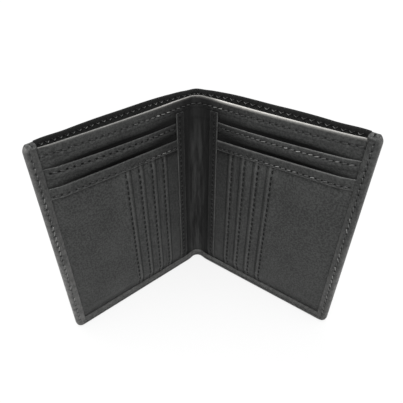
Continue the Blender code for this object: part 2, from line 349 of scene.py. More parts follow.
def leather_place(side, u, n, v, start):
    """Where a point lies on its own leather, measured from the plane X = 0."""
    return np.stack(np.broadcast_arrays(sides[side] * (u - start), n, v), -1)


def clean_mesh(mesh, merged):
    """Turns all faces outwards, after merging points that coincide if asked to."""
    bm = bmesh.new()
    bm.from_mesh(mesh)
    if merged:
        bmesh.ops.remove_doubles(bm, verts=bm.verts, dist=merge_distance)
    bmesh.ops.recalc_face_normals(bm, faces=bm.faces)
    bm.to_mesh(mesh)
    bm.free()


def add_mesh(name, points, faces, places, wear, material):
    """A smooth closed mesh that knows each point's place on its leather and its painted light and shade."""
    mesh = bpy.data.meshes.new(name)
    mesh.from_pydata([tuple(p) for p in points], [], faces)
    place = mesh.attributes.new("place", "FLOAT_VECTOR", "POINT")
    place.data.foreach_set("vector", np.asarray(places, np.float32).ravel())
    painted_tone = mesh.attributes.new("wear", "FLOAT", "POINT")
    painted_tone.data.foreach_set("value", np.asarray(wear, np.float32).ravel())
    clean_mesh(mesh, merged=True)
    mesh.shade_smooth()
    mesh.set_sharp_from_angle(angle=sharp_angle)
    mesh.materials.append(material)
    made = bpy.data.objects.new(name, mesh)
    bpy.context.scene.collection.objects.link(made)
    return made


def tube_faces(rows, columns):
    """Faces of a closed section swept through rows, with its two ends."""
    faces = []
    for r in range(rows - 1):
        for c in range(columns):
            d = (c + 1) % columns
            faces.append((r * columns + c, r * columns + d, (r + 1) * columns + d, (r + 1) * columns + c))
    faces.append(tuple(reversed(range(columns))))
    faces.append(tuple(range((rows - 1) * columns, rows * columns)))
    return faces


def swept_piece(name, grid, places, wear, material):
    rows, columns = grid.shape[:2]
    faces = tube_faces(rows, columns)
    return add_mesh(name, grid.reshape(-1, 3), faces, places.reshape(-1, 3), wear.ravel(), material)


def to_hole(along, pitch):
    phase = along / pitch
    return (phase - np.round(phase)) * pitch


def seam_relief(across, along, holes=1.0, length=hole_reach, pitch=stitch_pitch):
    """How deep a row of stitches presses the leather: a soft groove with holes."""
    hole = holes * ridge(to_hole(along, pitch), 0, length)
    return -seam_depth * ridge(across, 0, seam_reach) * (groove_share + (1 - groove_share) * hole)


def hole_mark(across, along, length=hole_width, pitch=stitch_pitch):
    """How much a place lies in a needle hole, from 0 to 1: where painted shade darkens the holes."""
    return ridge(to_hole(along, pitch), 0, length) * ridge(across, 0, hole_width)


def gape_share(u):
    """How far along a mouth a place is, from 0 at its sewn ends to 1 in the middle."""
    across = np.clip((u - strip_end) / (border_edge - strip_end), 0, 1)
    return np.sin(pi * across) ** gape_power


def lay(side, u, v):
    """Soft unevenness that all layers of a half share."""
    inside = smooth_step(strip_start, lay_spine_end, u) * smooth_step(border_edge, lay_outer_end, u)
    return lay_depth * (waves(u, v, side, lay_wave) - 1) / 2 * inside


def panel_shift(side, u, v):
    return lay(side, u, v) + panel_gape * gape_share(u) * smooth_step(*panel_gape_heights, v)


def first_shift(side, u, v):
    return lay(side, u, v) + first_gape * gape_share(u) * smooth_step(*first_gape_heights, v)


def second_shift(side, u, v):
    rise = np.clip((v - second_gape_foot) / (second_mouth - second_gape_foot), 0, gape_limit_share)
    return first_shift(side, u, v) + second_gape * gape_share(u) * rise**3


def level_mouth(side, u, v):
    return v


def first_height(side, u, v):
    """The pocket's mouth isn't level: it rises towards the outer edge."""
    return v + first_rise[side] * (u / half_length - 0.5) * (v / first_mouth) ** slope_power


def second_height(side, u, v):
    return v + second_rise[side] * (u / half_length - 0.5) * (v / second_mouth) ** slope_power


def stack_place(side, u, n, v):
    """A place in the stack of pockets, which the border presses together."""
    beside = smooth_step(press_start, border_edge, u)
    below = smooth_step(press_top, border_width, v) * smooth_step(*press_spine_ends, u)
    share = press_share * np.maximum(beside, below)
    return half_place(side, u, n - share * (n - press_level), v)


def bow(u, v):
    """How far the outer leather bows away from the stack at a place."""
    across = np.clip(u / border_edge, 0, 1)
    rise = np.clip((v - bow_start) / (shell_height - bow_start), 0, 1)
    return bow_depth * np.sin(pi * across) ** bow_across_power * rise**bow_rise_power


def sharp_cover_line(s, v):
    """Plan of the outer leather before it is smoothed: s runs from the plane X = 0,
    at minus the spine's length, over the fold line at 0, to the outer edge."""
    angle = pi / 2 - np.clip((s + spine_length) / spine_apex_radius, 0, spine_slope)
    centre_y = spine_straight * sin(spine_slope) - spine_apex_radius * cos(spine_slope)
    run = np.clip(s + spine_straight, 0, spine_straight)
    x = spine_apex_radius * np.cos(angle) + run * cos(spine_slope)
    y = centre_y + spine_apex_radius * np.sin(angle) - run * sin(spine_slope)
    u = np.maximum(s, 0)
    out = bow(u, v)
    x = x + u * cos(half_tilt) + out * sin(half_tilt)
    y = y - u * sin(half_tilt) + out * cos(half_tilt)
    return x, y


def cover_line(s, v):
    """Smoothed plan of the outer leather at one height, with its inward directions."""
    line = np.arange(-spine_length, half_length + line_overrun, line_step)
    x, y = sharp_cover_line(line, v)
    x = np.concatenate([-x[:0:-1], x])
    y = np.concatenate([y[:0:-1], y])
    reach = int(3 * path_softness / line_step)
    kernel = np.exp(-((np.arange(-reach, reach + 1) * line_step / path_softness) ** 2) / 2)
    kernel /= kernel.sum()
    middle = len(line) - 1
    x = np.convolve(x, kernel, "same")[middle:]
    y = np.convolve(y, kernel, "same")[middle:]
    tangent = np.stack([np.gradient(x), np.gradient(y)], -1)
    tangent[0] = (1, 0)
    tangent /= np.linalg.norm(tangent, axis=-1, keepdims=True)
    values = (x, y, tangent[:, 1], -tangent[:, 0])
    return [np.interp(s, line, value) for value in values]


def top_rise(s, v):
    """The outer leather stands a little higher at the spine and at its outer corners."""
    rise = spine_rise * smooth_step(*spine_rise_ends, s) + corner_rise * smooth_step(*corner_rise_ends, s)
    rise = rise + apex_rise * ridge(s, *apex_spot)
    return rise * smooth_step(rise_foot, shell_height, v)


def wall_place(side, s, n, v):
    """World points of the outer leather, n inwards from its middle."""
    s, n, v = np.broadcast_arrays(s, n, v)
    points = np.empty((*s.shape, 3))
    for height in np.unique(v):
        at = v == height
        x, y, across, depth = cover_line(s[at], height)
        points[at, 0] = sides[side] * (x + n[at] * across)
        points[at, 1] = fold_depth + y + n[at] * depth
        points[at, 2] = height
    points[..., 2] += top_rise(s, v)
    return points


# Turned border

border_middle = border_face - shell_leather / 2
edge_middle = half_length - shell_leather / 2
foot_middle = shell_leather / 2
border_reach = border_width - shell_leather / 2
wall_end = edge_middle - border_roll
wall_foot = foot_middle + border_roll
corner_middle = lower_corner - shell_leather / 2
rounding = corner_middle - border_roll
side_start = wall_foot + rounding
foot_start = wall_end - rounding
hem_rise = 0.7 * mm
wall_top = shell_height - hem_rise
puff_inset = 0.5 * mm
outer_puff = 0.15 * mm
inner_puff = 0.18 * mm
flap_drop = 0.6 * mm
flap_drop_run = 1.1 * mm
flap_drop_overrun = 0.1 * mm
flap_drop_ends = (border_reach - flap_drop_run, border_reach + flap_drop_overrun)
flap_lean_foot = 90 * mm
flap_level = 1 * mm
flap_straight = 8 * mm
foot_flap_level = 3 * mm
foot_flap_ends = (-2 * mm, 5 * mm)
# Painted light on the flap: paler low down, highlights along its round and inner edge
flap_light_heights = (100 * mm, 30 * mm)
edge_highlight_top = 14 * mm
roll_highlight_share = 0.4
roll_highlight_spot = (0.2 * mm, 0.6 * mm)
flap_highlight_share = 0.3
flap_highlight_inset = 0.5 * mm
flap_highlight_reach = 0.4 * mm
flap_highlight_spot = (border_reach - flap_highlight_inset, flap_highlight_reach)
corner_hole_share = 0.3


def border_profile(side):
    """Inset from the edge and level, from the back over the roll to the flap's inner edge."""
    r = border_roll
    turn = np.linspace(0, pi / 2, roll_points)
    flap = refined(r, border_reach, (border_seams[side],), *flap_steps)[1:]
    inset = [r * (1 - np.sin(turn)), r * (1 - np.cos(turn[1:])), flap]
    front = border_middle - r * (1 - np.sin(turn[1:]))
    level = [r * (1 - np.cos(turn)), front, border_middle + 0 * flap]
    return np.concatenate(inset), np.concatenate(level)


def border_relief(side, inset, level, along, holes=1.0):
    """Puff of the flap on both sides of its seam, and the drop of its inner edge."""
    seam = border_seams[side]
    puff = outer_puff * np.sin(pi * np.clip((inset - puff_inset) / (seam - puff_inset), 0, 1))
    inner = inner_puff * np.sin(pi * np.clip((inset - seam) / (border_reach - seam), 0, 1))
    drop = flap_drop * smooth_step(*flap_drop_ends, inset)
    relief = puff + inner - drop + seam_relief(inset - seam, along, holes)
    return np.where(level > border_middle / 2, relief, 0)


def crown_pull(inset, v):
    """How far the outer corner of the top is rounded inwards."""
    over = np.clip(v - (shell_height - upper_corner), 0, upper_corner)
    pull = upper_corner - np.sqrt(upper_corner**2 - over**2)
    return pull * np.clip(1 - inset / border_reach, 0, 1)


def border_height(v, level):
    """The flap ends a little lower than the back of the border."""
    share = level / border_middle * smooth_step(flap_lean_foot, shell_height, v)
    return v - (shell_height - panel_height) * share + top_rise(half_length, v)


def side_point(side, v, inset, level, out):
    u = edge_middle - inset - crown_pull(inset, v)
    thinner = 1 - corner_press_share * smooth_step(corner_press_foot, shell_height, v)
    return half_place(side, u, (level + out) * thinner, border_height(v, level))


def corner_point(side, angle, inset, level, out):
    left = np.maximum(corner_middle - inset, 0)
    reach = np.maximum(corner_middle, inset)
    u = edge_middle - reach + left * cos(angle)
    v = foot_middle + reach - left * sin(angle)
    return half_place(side, u, level + out, v)


def foot_front():
    """Plan of the foot's flap from the plane X = 0 to where it runs straight."""
    u = np.linspace(inner_centre(), flap_straight, foot_front_points)
    level = foot_flap_level + (border_middle - foot_flap_level) * smooth_step(*foot_flap_ends, u)
    points = inner_place("right", u, level, 0 * u)[:, :2]
    points[0, 0] = 0
    return points


foot_front_line = foot_front()


def foot_point(side, s, inset, level, out):
    """Border along the foot. Near the spine the flap follows its own, tighter line."""
    s, inset, level, out = np.broadcast_arrays(s, inset, level, out)
    x, y, across, depth = cover_line(s, wall_foot)
    back = np.stack([x, fold_depth + y], -1)
    steps = np.linalg.norm(np.diff(foot_front_line, axis=0), axis=1)
    length = np.concatenate([[0], np.cumsum(steps)])
    at = np.clip((s + spine_length) / (flap_straight + spine_length), 0, 1) * length[-1]
    bent = np.stack([np.interp(at, length, foot_front_line[:, k]) for k in range(2)], -1)
    straight = half_place("right", s, border_middle + 0 * s, 0 * s)[..., :2]
    forward = np.where((s < flap_straight)[..., None], bent, straight) - back
    deep = np.linalg.norm(forward, axis=-1, keepdims=True)
    plan = back + (level[..., None] / border_middle * deep + out[..., None]) * forward / deep
    return np.stack([sides[side] * plan[..., 0], plan[..., 1], foot_middle + inset], -1)


# Cover

hem_radius = 0.3 * mm
hem_height_share = 1.6
hem_press_share = 0.5
hem_thickness_share = 0.5
hem_shade_share = 0.5
hem_place_level = 1 * mm
hem_end_gap = 0.6 * mm
wall_gap = 1.4 * border_step


def wall_columns(side):
    seam = edge_middle - border_seams[side]
    inner = spread(-spine_length, seam, 2 * border_step)
    return np.concatenate([inner, spread(seam, wall_end, 2 * border_step)[1:]])


def wall_rows(side):
    seam = foot_middle + border_seams[side]
    lower = spread(wall_foot, seam, 2 * border_step)
    middle = np.arange(side_start, fine_rows_foot, 4 * border_step)
    upper = spread(middle[-1], wall_top, 2 * border_step)[1:]
    return np.concatenate([lower, middle, upper])


def wall_uneven(side, s, v):
    along = smooth_step(0, uneven_spine_end, s) * smooth_step(foot_start, uneven_outer_end, s)
    inside = along * smooth_step(*uneven_heights, v)
    return uneven_depth * waves(s, v, side + "wall", uneven_wave) * inside


def wall_level(side, s, v):
    """Middle of the wall, pressed in along its seams and softly uneven."""
    seam = border_seams[side]
    side_row = seam_relief(s - (edge_middle - seam), v - side_start)
    foot_row = seam_relief(v - (foot_middle + seam), s + spine_length)
    hem_pitch = row_pitches[side]["hem"]
    hem_row = seam_relief(v - cover_seam, s + spine_length, pitch=hem_pitch)
    side_row = side_row * (v > side_start)
    foot_row = foot_row * (s < foot_start)
    pressed = np.minimum(np.minimum(side_row, foot_row), hem_row)
    return wall_uneven(side, s, v) - wall_press_share * pressed


class Surface:
    """Points, faces and what each point carries, gathered for one mesh."""

    def __init__(self):
        self.points, self.places, self.wear, self.thick, self.faces = [], [], [], [], []

    def add(self, points, places, wear, thick=1.0):
        first = len(self.points)
        self.points.extend(points)
        self.places.extend(places)
        self.wear.extend(wear + np.zeros(len(points)))
        self.thick.extend(thick + np.zeros(len(points)))
        return list(range(first, len(self.points)))

    def join(self, line, other):
        """Quads between two lines of points with equal counts."""
        for a, b, c, d in zip(line, line[1:], other[1:], other):
            self.faces.append((a, b, c, d))

    def bridge(self, outer, inner):
        """Triangles between two lines with unlike counts, matched by distance."""
        i, j = 0, 0
        while i < len(outer) - 1 or j < len(inner) - 1:
            if j == len(inner) - 1:
                outer_next = True
            elif i == len(outer) - 1:
                outer_next = False
            else:
                ahead = np.linalg.norm(self.points[outer[i + 1]] - self.points[inner[j]])
                aside = np.linalg.norm(self.points[outer[i]] - self.points[inner[j + 1]])
                outer_next = ahead <= aside
            if outer_next:
                self.faces.append((outer[i], outer[i + 1], inner[j]))
                i += 1
            else:
                self.faces.append((outer[i], inner[j + 1], inner[j]))
                j += 1


def flap_painted_light(side, inset, v):
    """Painted light: the flap is painted paler low down, with painted highlights along its outer round and
    at its inner edge.
    """
    upper, lower = border_highlights[side]
    highlight_level = upper + (lower - upper) * smooth_step(*flap_light_heights, v)
    edges = roll_highlight_share * ridge(inset, *roll_highlight_spot) + flap_highlight_share * ridge(inset, *flap_highlight_spot)
    return highlight_level + edges * smooth_step(0, edge_highlight_top, v)


def border_lines(side, surface, rows, columns):
    """The border as lines of points across it, from the top of the side to the spine."""
    inset, level = border_profile(side)
    on_flap = level > flap_level
    across = inset - border_seams[side]
    lines = []
    heights = rows[rows >= side_start][::-1]
    for upper, lower in zip(heights, heights[1:]):
        for v in spread(upper, lower, border_step)[:-1]:
            relief = border_relief(side, inset, level, v - side_start)
            world = side_point(side, v, inset, level, relief)
            places = leather_place(side, edge_middle - inset, level, v, -spine_length)
            # Painted light on the flap, painted shade in its needle holes
            painted_tone = flap_painted_light(side, inset, v) - hole_mark(across, v - side_start)
            lines.append(surface.add(world, places, painted_tone * on_flap))
    painted_tone = flap_painted_light(side, inset, side_start) * on_flap
    for angle in np.linspace(0, pi / 2, corner_steps + 1)[:-1]:
        relief = border_relief(side, inset, level, 0, corner_hole_share)
        world = corner_point(side, angle, inset, level, relief)
        v = side_start - angle * rounding
        places = leather_place(side, edge_middle - inset, level, v, -spine_length)
        lines.append(surface.add(world, places, painted_tone))
    marks = np.concatenate([[foot_start], columns[columns < foot_start][::-1]])
    for outer, nearer in zip(marks, marks[1:]):
        for s in spread(outer, nearer, border_step)[:-1]:
            lines.append(foot_line(side, surface, s, inset, level))
    lines.append(foot_line(side, surface, -spine_length, inset, level))
    return lines


def foot_line(side, surface, s, inset, level):
    relief = border_relief(side, inset, level, s + spine_length)
    world = foot_point(side, s, inset, level, relief)
    places = leather_place(side, s, level, foot_middle + inset, -spine_length)
    # Painted light on the foot's flap, painted shade in its needle holes
    painted_tone = foot_highlight - hole_mark(inset - border_seams[side], s + spine_length)
    return surface.add(flush(world, s, -spine_length), places, painted_tone * (level > flap_level))


def flush(points, along, start):
    """Points of a piece's first line, put exactly into the plane X = 0."""
    points[np.broadcast_to(along, points.shape[:-1]) <= start + merge_distance, 0] = 0
    return points


def hem_section():
    """Level and height of the turned top hem, from the wall's upper edge inwards."""
    turn = np.linspace(pi / 4, pi, hem_points)
    down = refined(0, cover_hem_depth, (wall_top - cover_seam,), *hem_steps)[1:]
    n = np.concatenate([hem_radius - hem_radius * np.cos(turn), 2 * hem_radius + 0 * down])
    v = np.concatenate([wall_top + hem_height_share * hem_radius * np.sin(turn), wall_top - down])
    return n, v


def cover_surface(side):
    """Outer leather of a half and of its share of the spine: the bowed wall with its
    turned top hem, and the border that is turned round the side and the foot."""
    surface = Surface()
    columns = wall_columns(side)
    rows = wall_rows(side)
    lines = border_lines(side, surface, rows, columns)
    for line, other in zip(lines, lines[1:]):
        surface.join(line, other)

    s = columns[columns < wall_end - wall_gap]
    grid = []
    for v in rows[rows > wall_foot + wall_gap]:
        moved = s - crown_pull(edge_middle - s, v)
        world = flush(wall_place(side, moved, wall_level(side, moved, v), v), s, -spine_length)
        places = leather_place(side, s, 0, v, -spine_length)
        grid.append(surface.add(world, places, 0))
    for lower, upper in zip(grid, grid[1:]):
        surface.join(lower, upper)
    rim = [row[-1] for row in reversed(grid)] + grid[0][-2::-1]
    surface.bridge([line[0] for line in lines], rim)

    s = s[s < border_edge - hem_end_gap]
    hem_pitch = row_pitches[side]["hem"]
    previous = grid[-1][: len(s)]
    for n, v in zip(*hem_section()):
        relief = hem_press_share * seam_relief(v - cover_seam, s + spine_length, pitch=hem_pitch)
        height = min(v, wall_top)
        level = n + relief + wall_uneven(side, s, height)
        world = wall_place(side, s, level, height)
        world[:, 2] += v - height
        # Painted shade over the turned hem, darker still in its needle holes
        painted_tone = -hem_shade_share * (1 + hole_mark(v - cover_seam, s + spine_length, pitch=hem_pitch))
        places = leather_place(side, s, hem_place_level, 2 * shell_height - v, -spine_length)
        line = surface.add(flush(world, s, -spine_length), places, painted_tone, hem_thickness_share)
        surface.join(previous, line)
        previous = line
    return surface


def blend_at_fold(piece):
    """Bakes a piece's placing into its mesh."""
    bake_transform(piece)


def bend_over_fold(piece):
    """Turns a leather piece's normals so no seam shows at the plane X = 0, and bakes its placing into its
    mesh.
    """
    middle_normals(piece)
    blend_at_fold(piece)


def middle_normals(piece):
    """Turns the normals at the plane X = 0 into that plane, so no seam shows there."""
    mesh = piece.data
    count = len(mesh.loops)
    normals = np.empty(3 * count, np.float32)
    mesh.corner_normals.foreach_get("vector", normals)
    normals = normals.reshape(-1, 3)
    corner = np.empty(count, np.int32)
    mesh.loops.foreach_get("vertex_index", corner)
    places = np.empty(3 * len(mesh.vertices), np.float32)
    mesh.vertices.foreach_get("co", places)
    at_middle = np.abs(places.reshape(-1, 3)[corner, 0]) < merge_distance
    outside = np.abs(normals[:, 0]) < cos(sharp_angle)
    normals[at_middle & outside, 0] = 0
    normals /= np.linalg.norm(normals, axis=1, keepdims=True)
    mesh.normals_split_custom_set(normals.tolist())


def add_cover(side, material):
    surface = cover_surface(side)
    name = f"{side}_cover"
    cover = add_mesh(name, surface.points, surface.faces, surface.places, surface.wear, material)
    group = cover.vertex_groups.new(name="full")
    places = np.array([vertex.co for vertex in cover.data.vertices])
    tree = spatial_tree(surface.points)
    for index, place in enumerate(places):
        group.add([index], surface.thick[tree.find(place)[1]], "REPLACE")
    solidify = cover.modifiers.new("leather", "SOLIDIFY")
    solidify.thickness = shell_leather
    solidify.offset = 0
    solidify.vertex_group = "full"
    graph = bpy.context.evaluated_depsgraph_get()
    mesh = bpy.data.meshes.new_from_object(cover.evaluated_get(graph))
    cover.modifiers.clear()
    cover.data = mesh
    clean_mesh(mesh, merged=False)
    mesh.set_sharp_from_angle(angle=sharp_angle)
    bend_over_fold(cover)
    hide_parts(f"{side}_shell", "spine_shell")
    return cover


def spatial_tree(points):
    tree = KDTree(len(points))
    for index, point in enumerate(points):
        tree.insert(point, index)
    tree.balance()
    return tree


# Upper end of the border

tip_inset = 3.05 * mm
tip_reach = 3.2 * mm
tip_proud = 0.1 * mm
tip_dome = 0.45 * mm
tip_root = 1.2 * mm
tip_squareness = 0.62
pinch_inset = 2.9 * mm
pinch_lean = 0.25
pinch_reach = 0.4 * mm
pinch_depth = 0.7 * mm
# Painted highlight patches on the tip, painted shade over it and in its pinch
patch_size = 3 * mm
patch_middle_share = 0.3
patch_gain_share = 1.1
tip_highlight_share = 0.9
tip_shade_share = 0.35
pinch_shade_share = 0.8


def squarer(value):
    return np.sign(value) * np.abs(value) ** tip_squareness


def add_border_tip(side, material):
    """Closes the upper end of the turned border: leather folded in, with a pinch."""
    turns = np.linspace(0, 2 * pi, tip_points + 1)[:-1]
    shrink = np.concatenate([[1, 1], np.cos(np.linspace(0, pi / 2, dome_points))[:-1]])
    points, places, wear = [], [], []
    for ring, share in enumerate(shrink):
        across, deep = squarer(np.cos(turns)), squarer(np.sin(turns))
        inset = tip_inset + tip_reach * across * share
        level = border_middle / 2 + (border_middle / 2 + tip_proud) * deep * share
        crease = ridge(inset, pinch_inset + pinch_lean * level, pinch_reach) * (1 - share)
        rise = -tip_root if ring == 0 else tip_dome * np.sqrt(1 - share**2) - pinch_depth * crease
        world = side_point(side, wall_top, inset, level, 0)
        world[:, 2] += rise
        points.extend(world)
        places.extend(leather_place(side, edge_middle - inset, level, wall_top + 0 * inset, 0))
        # Painted highlight patches on the tip, painted shade over the tip and in the pinch's crease
        patches = patch_gain_share * waves(inset, level, side + "tip", patch_size)
        patches = np.clip(patch_middle_share + patches, 0, 1)
        patches = patches * smooth_step(*tip_gleams[side], inset)
        wear.extend((1 - share**4) * (tip_highlight_share * patches - tip_shade_share) - pinch_shade_share * crease)
    faces = tube_faces(len(shrink), len(turns))
    tip = add_mesh(f"{side}_border_tip", points, faces, places, wear, material)
    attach(tip, f"{side}_half")
    return tip


# Sheets of a half

least_shade_share = 0.2
mouth_shade_ends = (border_edge, 45 * mm)
spine_shade_ends = (36 * mm, 12 * mm)
spine_shade_heights = (6 * mm, 2 * mm)
close_shade_spot = (-0.3 * mm, 1.25 * mm)
wide_shade_spot = (1 * mm, 3.5 * mm)
wide_shade_share = 0.25
# Painted highlight along the inner leather's top fold
panel_highlight_ends = (20 * mm, 90 * mm)
panel_highlight_shares = {"left": (0.38, 0.12, 0.1), "right": (0.4, 0.5, 0.4)}
left_highlight_spot = (12 * mm, 12 * mm)
right_highlight_ends = (4 * mm, 12 * mm)
panel_hem_slope = 0.3 * mm
panel_proud = 0.12 * mm
crease_depth = 0.22 * mm
crease_wave = 2.4 * mm
crease_stretch = 9
crease_end = 2 * mm
crease_heights = (2 * mm, 14 * mm)
crease_fade_foot = 114 * mm
crease_fade_share = 0.75
swell_depth = 0.14 * mm
swell_offset = 2 * mm
swell_reach = 2.2 * mm
swell_height = 4 * mm
# Painted highlight along the band's cut edge
cut_gleam_share = 0.7
cut_gleam_reach = 0.6 * mm
band_edge_drop = 0.2 * mm


def stack_foot_at(u):
    """Lower edge of the stack's sheets, round at the outer corner."""
    radius = stack_end - foot_start
    over = np.clip(u - foot_start, 0, radius)
    return stack_foot + radius - np.sqrt(radius**2 - over**2)


def sheet_section(foot, mouth, seam, face, back, marks=(), lip=lip_reach):
    """Section of a lying sheet with a folded mouth, from the foot up its face and down
    its back. Face and back give heights with their levels, from the foot up. Returns
    level, height, and how much each point belongs to the face and to the fold. The
    heights are closer together at the seam and at the marks."""
    face_heights, face_levels = face
    back_heights, back_levels = back
    radius = (face_levels[-1] - back_levels[-1]) / 2
    top = mouth - radius
    up = np.union1d(refined(foot, top, (seam, *marks), *sheet_steps), face_heights)
    down = np.union1d(spread(foot, top, sheet_steps[0]), back_heights)[::-1]
    up = up[up <= top]
    down = down[down <= top]
    turn = np.linspace(0, pi, fold_points)[1:-1]
    middle = (face_levels[-1] + back_levels[-1]) / 2
    n = [np.interp(up, face_heights, face_levels), middle + radius * np.cos(turn)]
    n.append(np.interp(down, back_heights, back_levels))
    v = np.concatenate([up, top + radius * np.sin(turn), down])
    on_face = np.concatenate([1 + 0 * up, 0 * turn, 0 * down])
    on_fold = np.concatenate([ridge(up, mouth, lip), 1 + 0 * turn, 0 * down])
    return np.concatenate(n), v, on_face, on_fold


def no_extra(u, v):
    return 0 * u


def shade_above(side, mouth, height):
    """Painted shade on a sheet right above the mouth of the pocket in front of it, stronger near the spine.
    """

    def shade(u, v):
        above = v - height(side, u, mouth)
        clear = smooth_step(strip_start, strip_end, u)
        share = least_shade_share + (1 - least_shade_share) * smooth_step(*mouth_shade_ends, u) * clear
        beside = smooth_step(*spine_shade_ends, u) * clear
        corner = spine_shades[side] * beside * smooth_step(*spine_shade_heights, above)
        close = ridge(above, *close_shade_spot)
        wide = wide_shade_share * ridge(above, *wide_shade_spot)
        return share * (close + wide) + corner

    return shade


def marks_round(mouth):
    return [mouth + offset for offset in (-mark_spacing, 0, mark_spacing)]


def lip_highlight(side, u):
    """The folded mouths of the lying pockets get a painted highlight, stronger on the right half."""
    return 0 * u + lip_highlights[side]


def panel_highlight(side, u):
    """Painted highlight along the inner leather's top fold, stronger on the right half and towards the
    spine.
    """
    outwards = smooth_step(*panel_highlight_ends, u)
    least, gain, loss = panel_highlight_shares[side]
    if side == "right":
        return (least + gain * smooth_step(*right_highlight_ends, u)) * (1 - loss * outwards)
    return least + gain * ridge(u, *left_highlight_spot) - loss * outwards


def add_lying_piece(name, side, us, section, seam, shift, height, material, extra=no_extra,
                    shade=no_extra, place=stack_place, start=0, fold_highlight=lip_highlight,
                    hole_share=band_hole_share, row="band"):
    """A sheet that lies across a half: its section drawn out along u."""
    n, v, on_face, on_fold = section
    u = us[:, None] + 0 * n
    up = np.maximum(height(side, u, v + 0 * u), stack_foot_at(u))
    pitch = row_pitches[side][row]
    pressed = on_face * seam_relief(v - seam, u - start, pitch=pitch)
    level = n + pressed + shift(side, u, up) + extra(u, up)
    grid = flush(place(side, u, level, up), u, start) if start else place(side, u, level, up)
    places = leather_place(side, u, level, up, start)
    holes = hole_mark(v - seam, u - start, hole_length, pitch)
    # Painted highlight on the fold; painted shade in the needle holes and where the shade call puts it
    wear = on_fold * fold_highlight(side, u) - on_face * (hole_share * holes + shade(u, up))
    return swept_piece(f"{side}_{name}", grid, places, wear, material)


def ride_as(piece, side, slot, *nodes):
    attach(piece, f"{side}_half")
    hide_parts(*[f"{side}_{node}" for node in nodes])
    return piece


def panel_drop(u, v):
    """The panel's top sinks under the border's flap."""
    return -panel_sink * smooth_step(*panel_sink_ends, u) * smooth_step(panel_sink_foot, panel_height, v)


def inner_leather_place(side, u, n, v):
    beside = smooth_step(press_start, border_edge, u)
    level = n - press_share * beside * (n - press_level)
    return inner_place(side, u, level, v + panel_drop(u, v))


def gusset_creases(side):
    """Upright creases of the thin leather over the spine."""

    def depth(u, v):
        across = sides[side] * (u - inner_centre())
        free = smooth_step(strip_start, crease_end, u) * smooth_step(*crease_heights, v)
        free = free * (1 - crease_fade_share * smooth_step(crease_fade_foot, panel_seam, v))
        return crease_depth * waves(across, v / crease_stretch, "creases", crease_wave) * free

    return depth


def add_inner_leather(side, material):
    """Sheet behind the pockets of a half, and its share of the gusset."""
    hem_foot = panel_height - panel_hem_depth
    heights = (stack_foot, hem_foot - panel_hem_slope, hem_foot, panel_height)
    sheet_back = panel_back + panel_hem
    sheet_face = sheet_back + panel_leather
    face = (heights, (sheet_face, sheet_face, sheet_face + panel_proud, sheet_face + panel_proud))
    back = (heights, (sheet_back, sheet_back, panel_back, panel_back))
    marks = marks_round(first_mouth)
    section = sheet_section(stack_foot, panel_height, panel_seam, face, back, marks, panel_lips[side])
    us = spread(inner_centre(), stack_end, border_step)
    inner = add_lying_piece(
        "inner_leather", side, us, section, panel_seam, panel_shift, level_mouth, material,
        extra=gusset_creases(side), shade=shade_above(side, first_mouth, first_height),
        place=inner_leather_place, start=inner_centre(), fold_highlight=panel_highlight,
        hole_share=panel_hole_share, row="panel",
    )
    bend_over_fold(inner)
    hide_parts(f"{side}_inner_panel", "spine_gusset")
    return inner


def add_upper_pocket(side, material):
    back_level = first_pocket_back
    body = back_level + thin_leather
    fold = body + thin_leather
    hem_foot = first_mouth - hem_depth
    face = ((first_pocket_foot, hem_foot - thin_leather, hem_foot), (body, body, fold))
    back = ((first_pocket_foot, first_mouth), (back_level, back_level))
    marks = marks_round(second_mouth)
    section = sheet_section(first_pocket_foot, first_mouth, first_seam, face, back, marks)
    us = spread(pocket_start, stack_end, border_step)
    pocket = add_lying_piece(
        "upper_pocket", side, us, section, first_seam, first_shift, first_height, material,
        shade=shade_above(side, second_mouth, second_height), hole_share=pocket_hole_shares[side],
        row="upper",
    )
    return ride_as(pocket, side, "pocket_leather", "upper_card_pocket")


def add_lower_pocket(side, material):
    """Its plain upper edge is tucked behind the band's fold."""
    back_level = second_pocket_back
    mouth = second_mouth - layer_gap
    face = ((stack_foot, mouth), (back_level + thin_leather, back_level + thin_leather))
    back = ((stack_foot, mouth), (back_level, back_level))
    section = sheet_section(stack_foot, mouth, band_seam, face, back)
    shadow = leaf_start - leaf_shadow_inset
    us = refined(pocket_start, stack_end, (shadow,), *lower_pocket_steps)

    # Painted shadow beside the mouth of the inner upright pocket
    def shade(u, v):
        return leaf_shadow_share * ridge(u, shadow, leaf_shadow_reach) * (v < band_foot)

    pocket = add_lying_piece(
        "lower_pocket", side, us, section, band_seam, second_shift, second_height, material,
        shade=shade,
    )
    return ride_as(pocket, side, "pocket_leather", "lower_card_pocket")


def band_swell(u, v):
    """The band swells a little over the folds of the upright pockets below it."""
    folds = sum(ridge(u, mouth + swell_offset, swell_reach) for mouth in leaf_mouths)
    return swell_depth * folds * smooth_step(band_foot + swell_height, band_foot, v)


def cut_edge(side):
    """Painted highlight along the band's lower, cut edge."""

    def shade(u, v):
        return -cut_gleam_share * ridge(v, second_height(side, u, band_foot), cut_gleam_reach)

    return shade


def add_band(side, material):
    fold = leaf_back + 2 * thin_leather
    face = ((band_foot, band_foot + layer_gap, second_mouth), (fold - band_edge_drop, fold, fold))
    back = ((band_foot, second_mouth), (leaf_back, leaf_back))
    section = sheet_section(band_foot, second_mouth, band_seam, face, back)
    us = spread(strip_end + layer_gap, border_edge - layer_gap, border_step)
    band = add_lying_piece(
        "card_band", side, us, section, band_seam, second_shift, second_height, material,
        extra=band_swell, shade=cut_edge(side),
    )
    return ride_as(band, side, "pocket_leather", "card_band")


# Upright pieces

upright_foot = 5.2 * mm
face_share = 0.6
upright_dent_share = 1.6
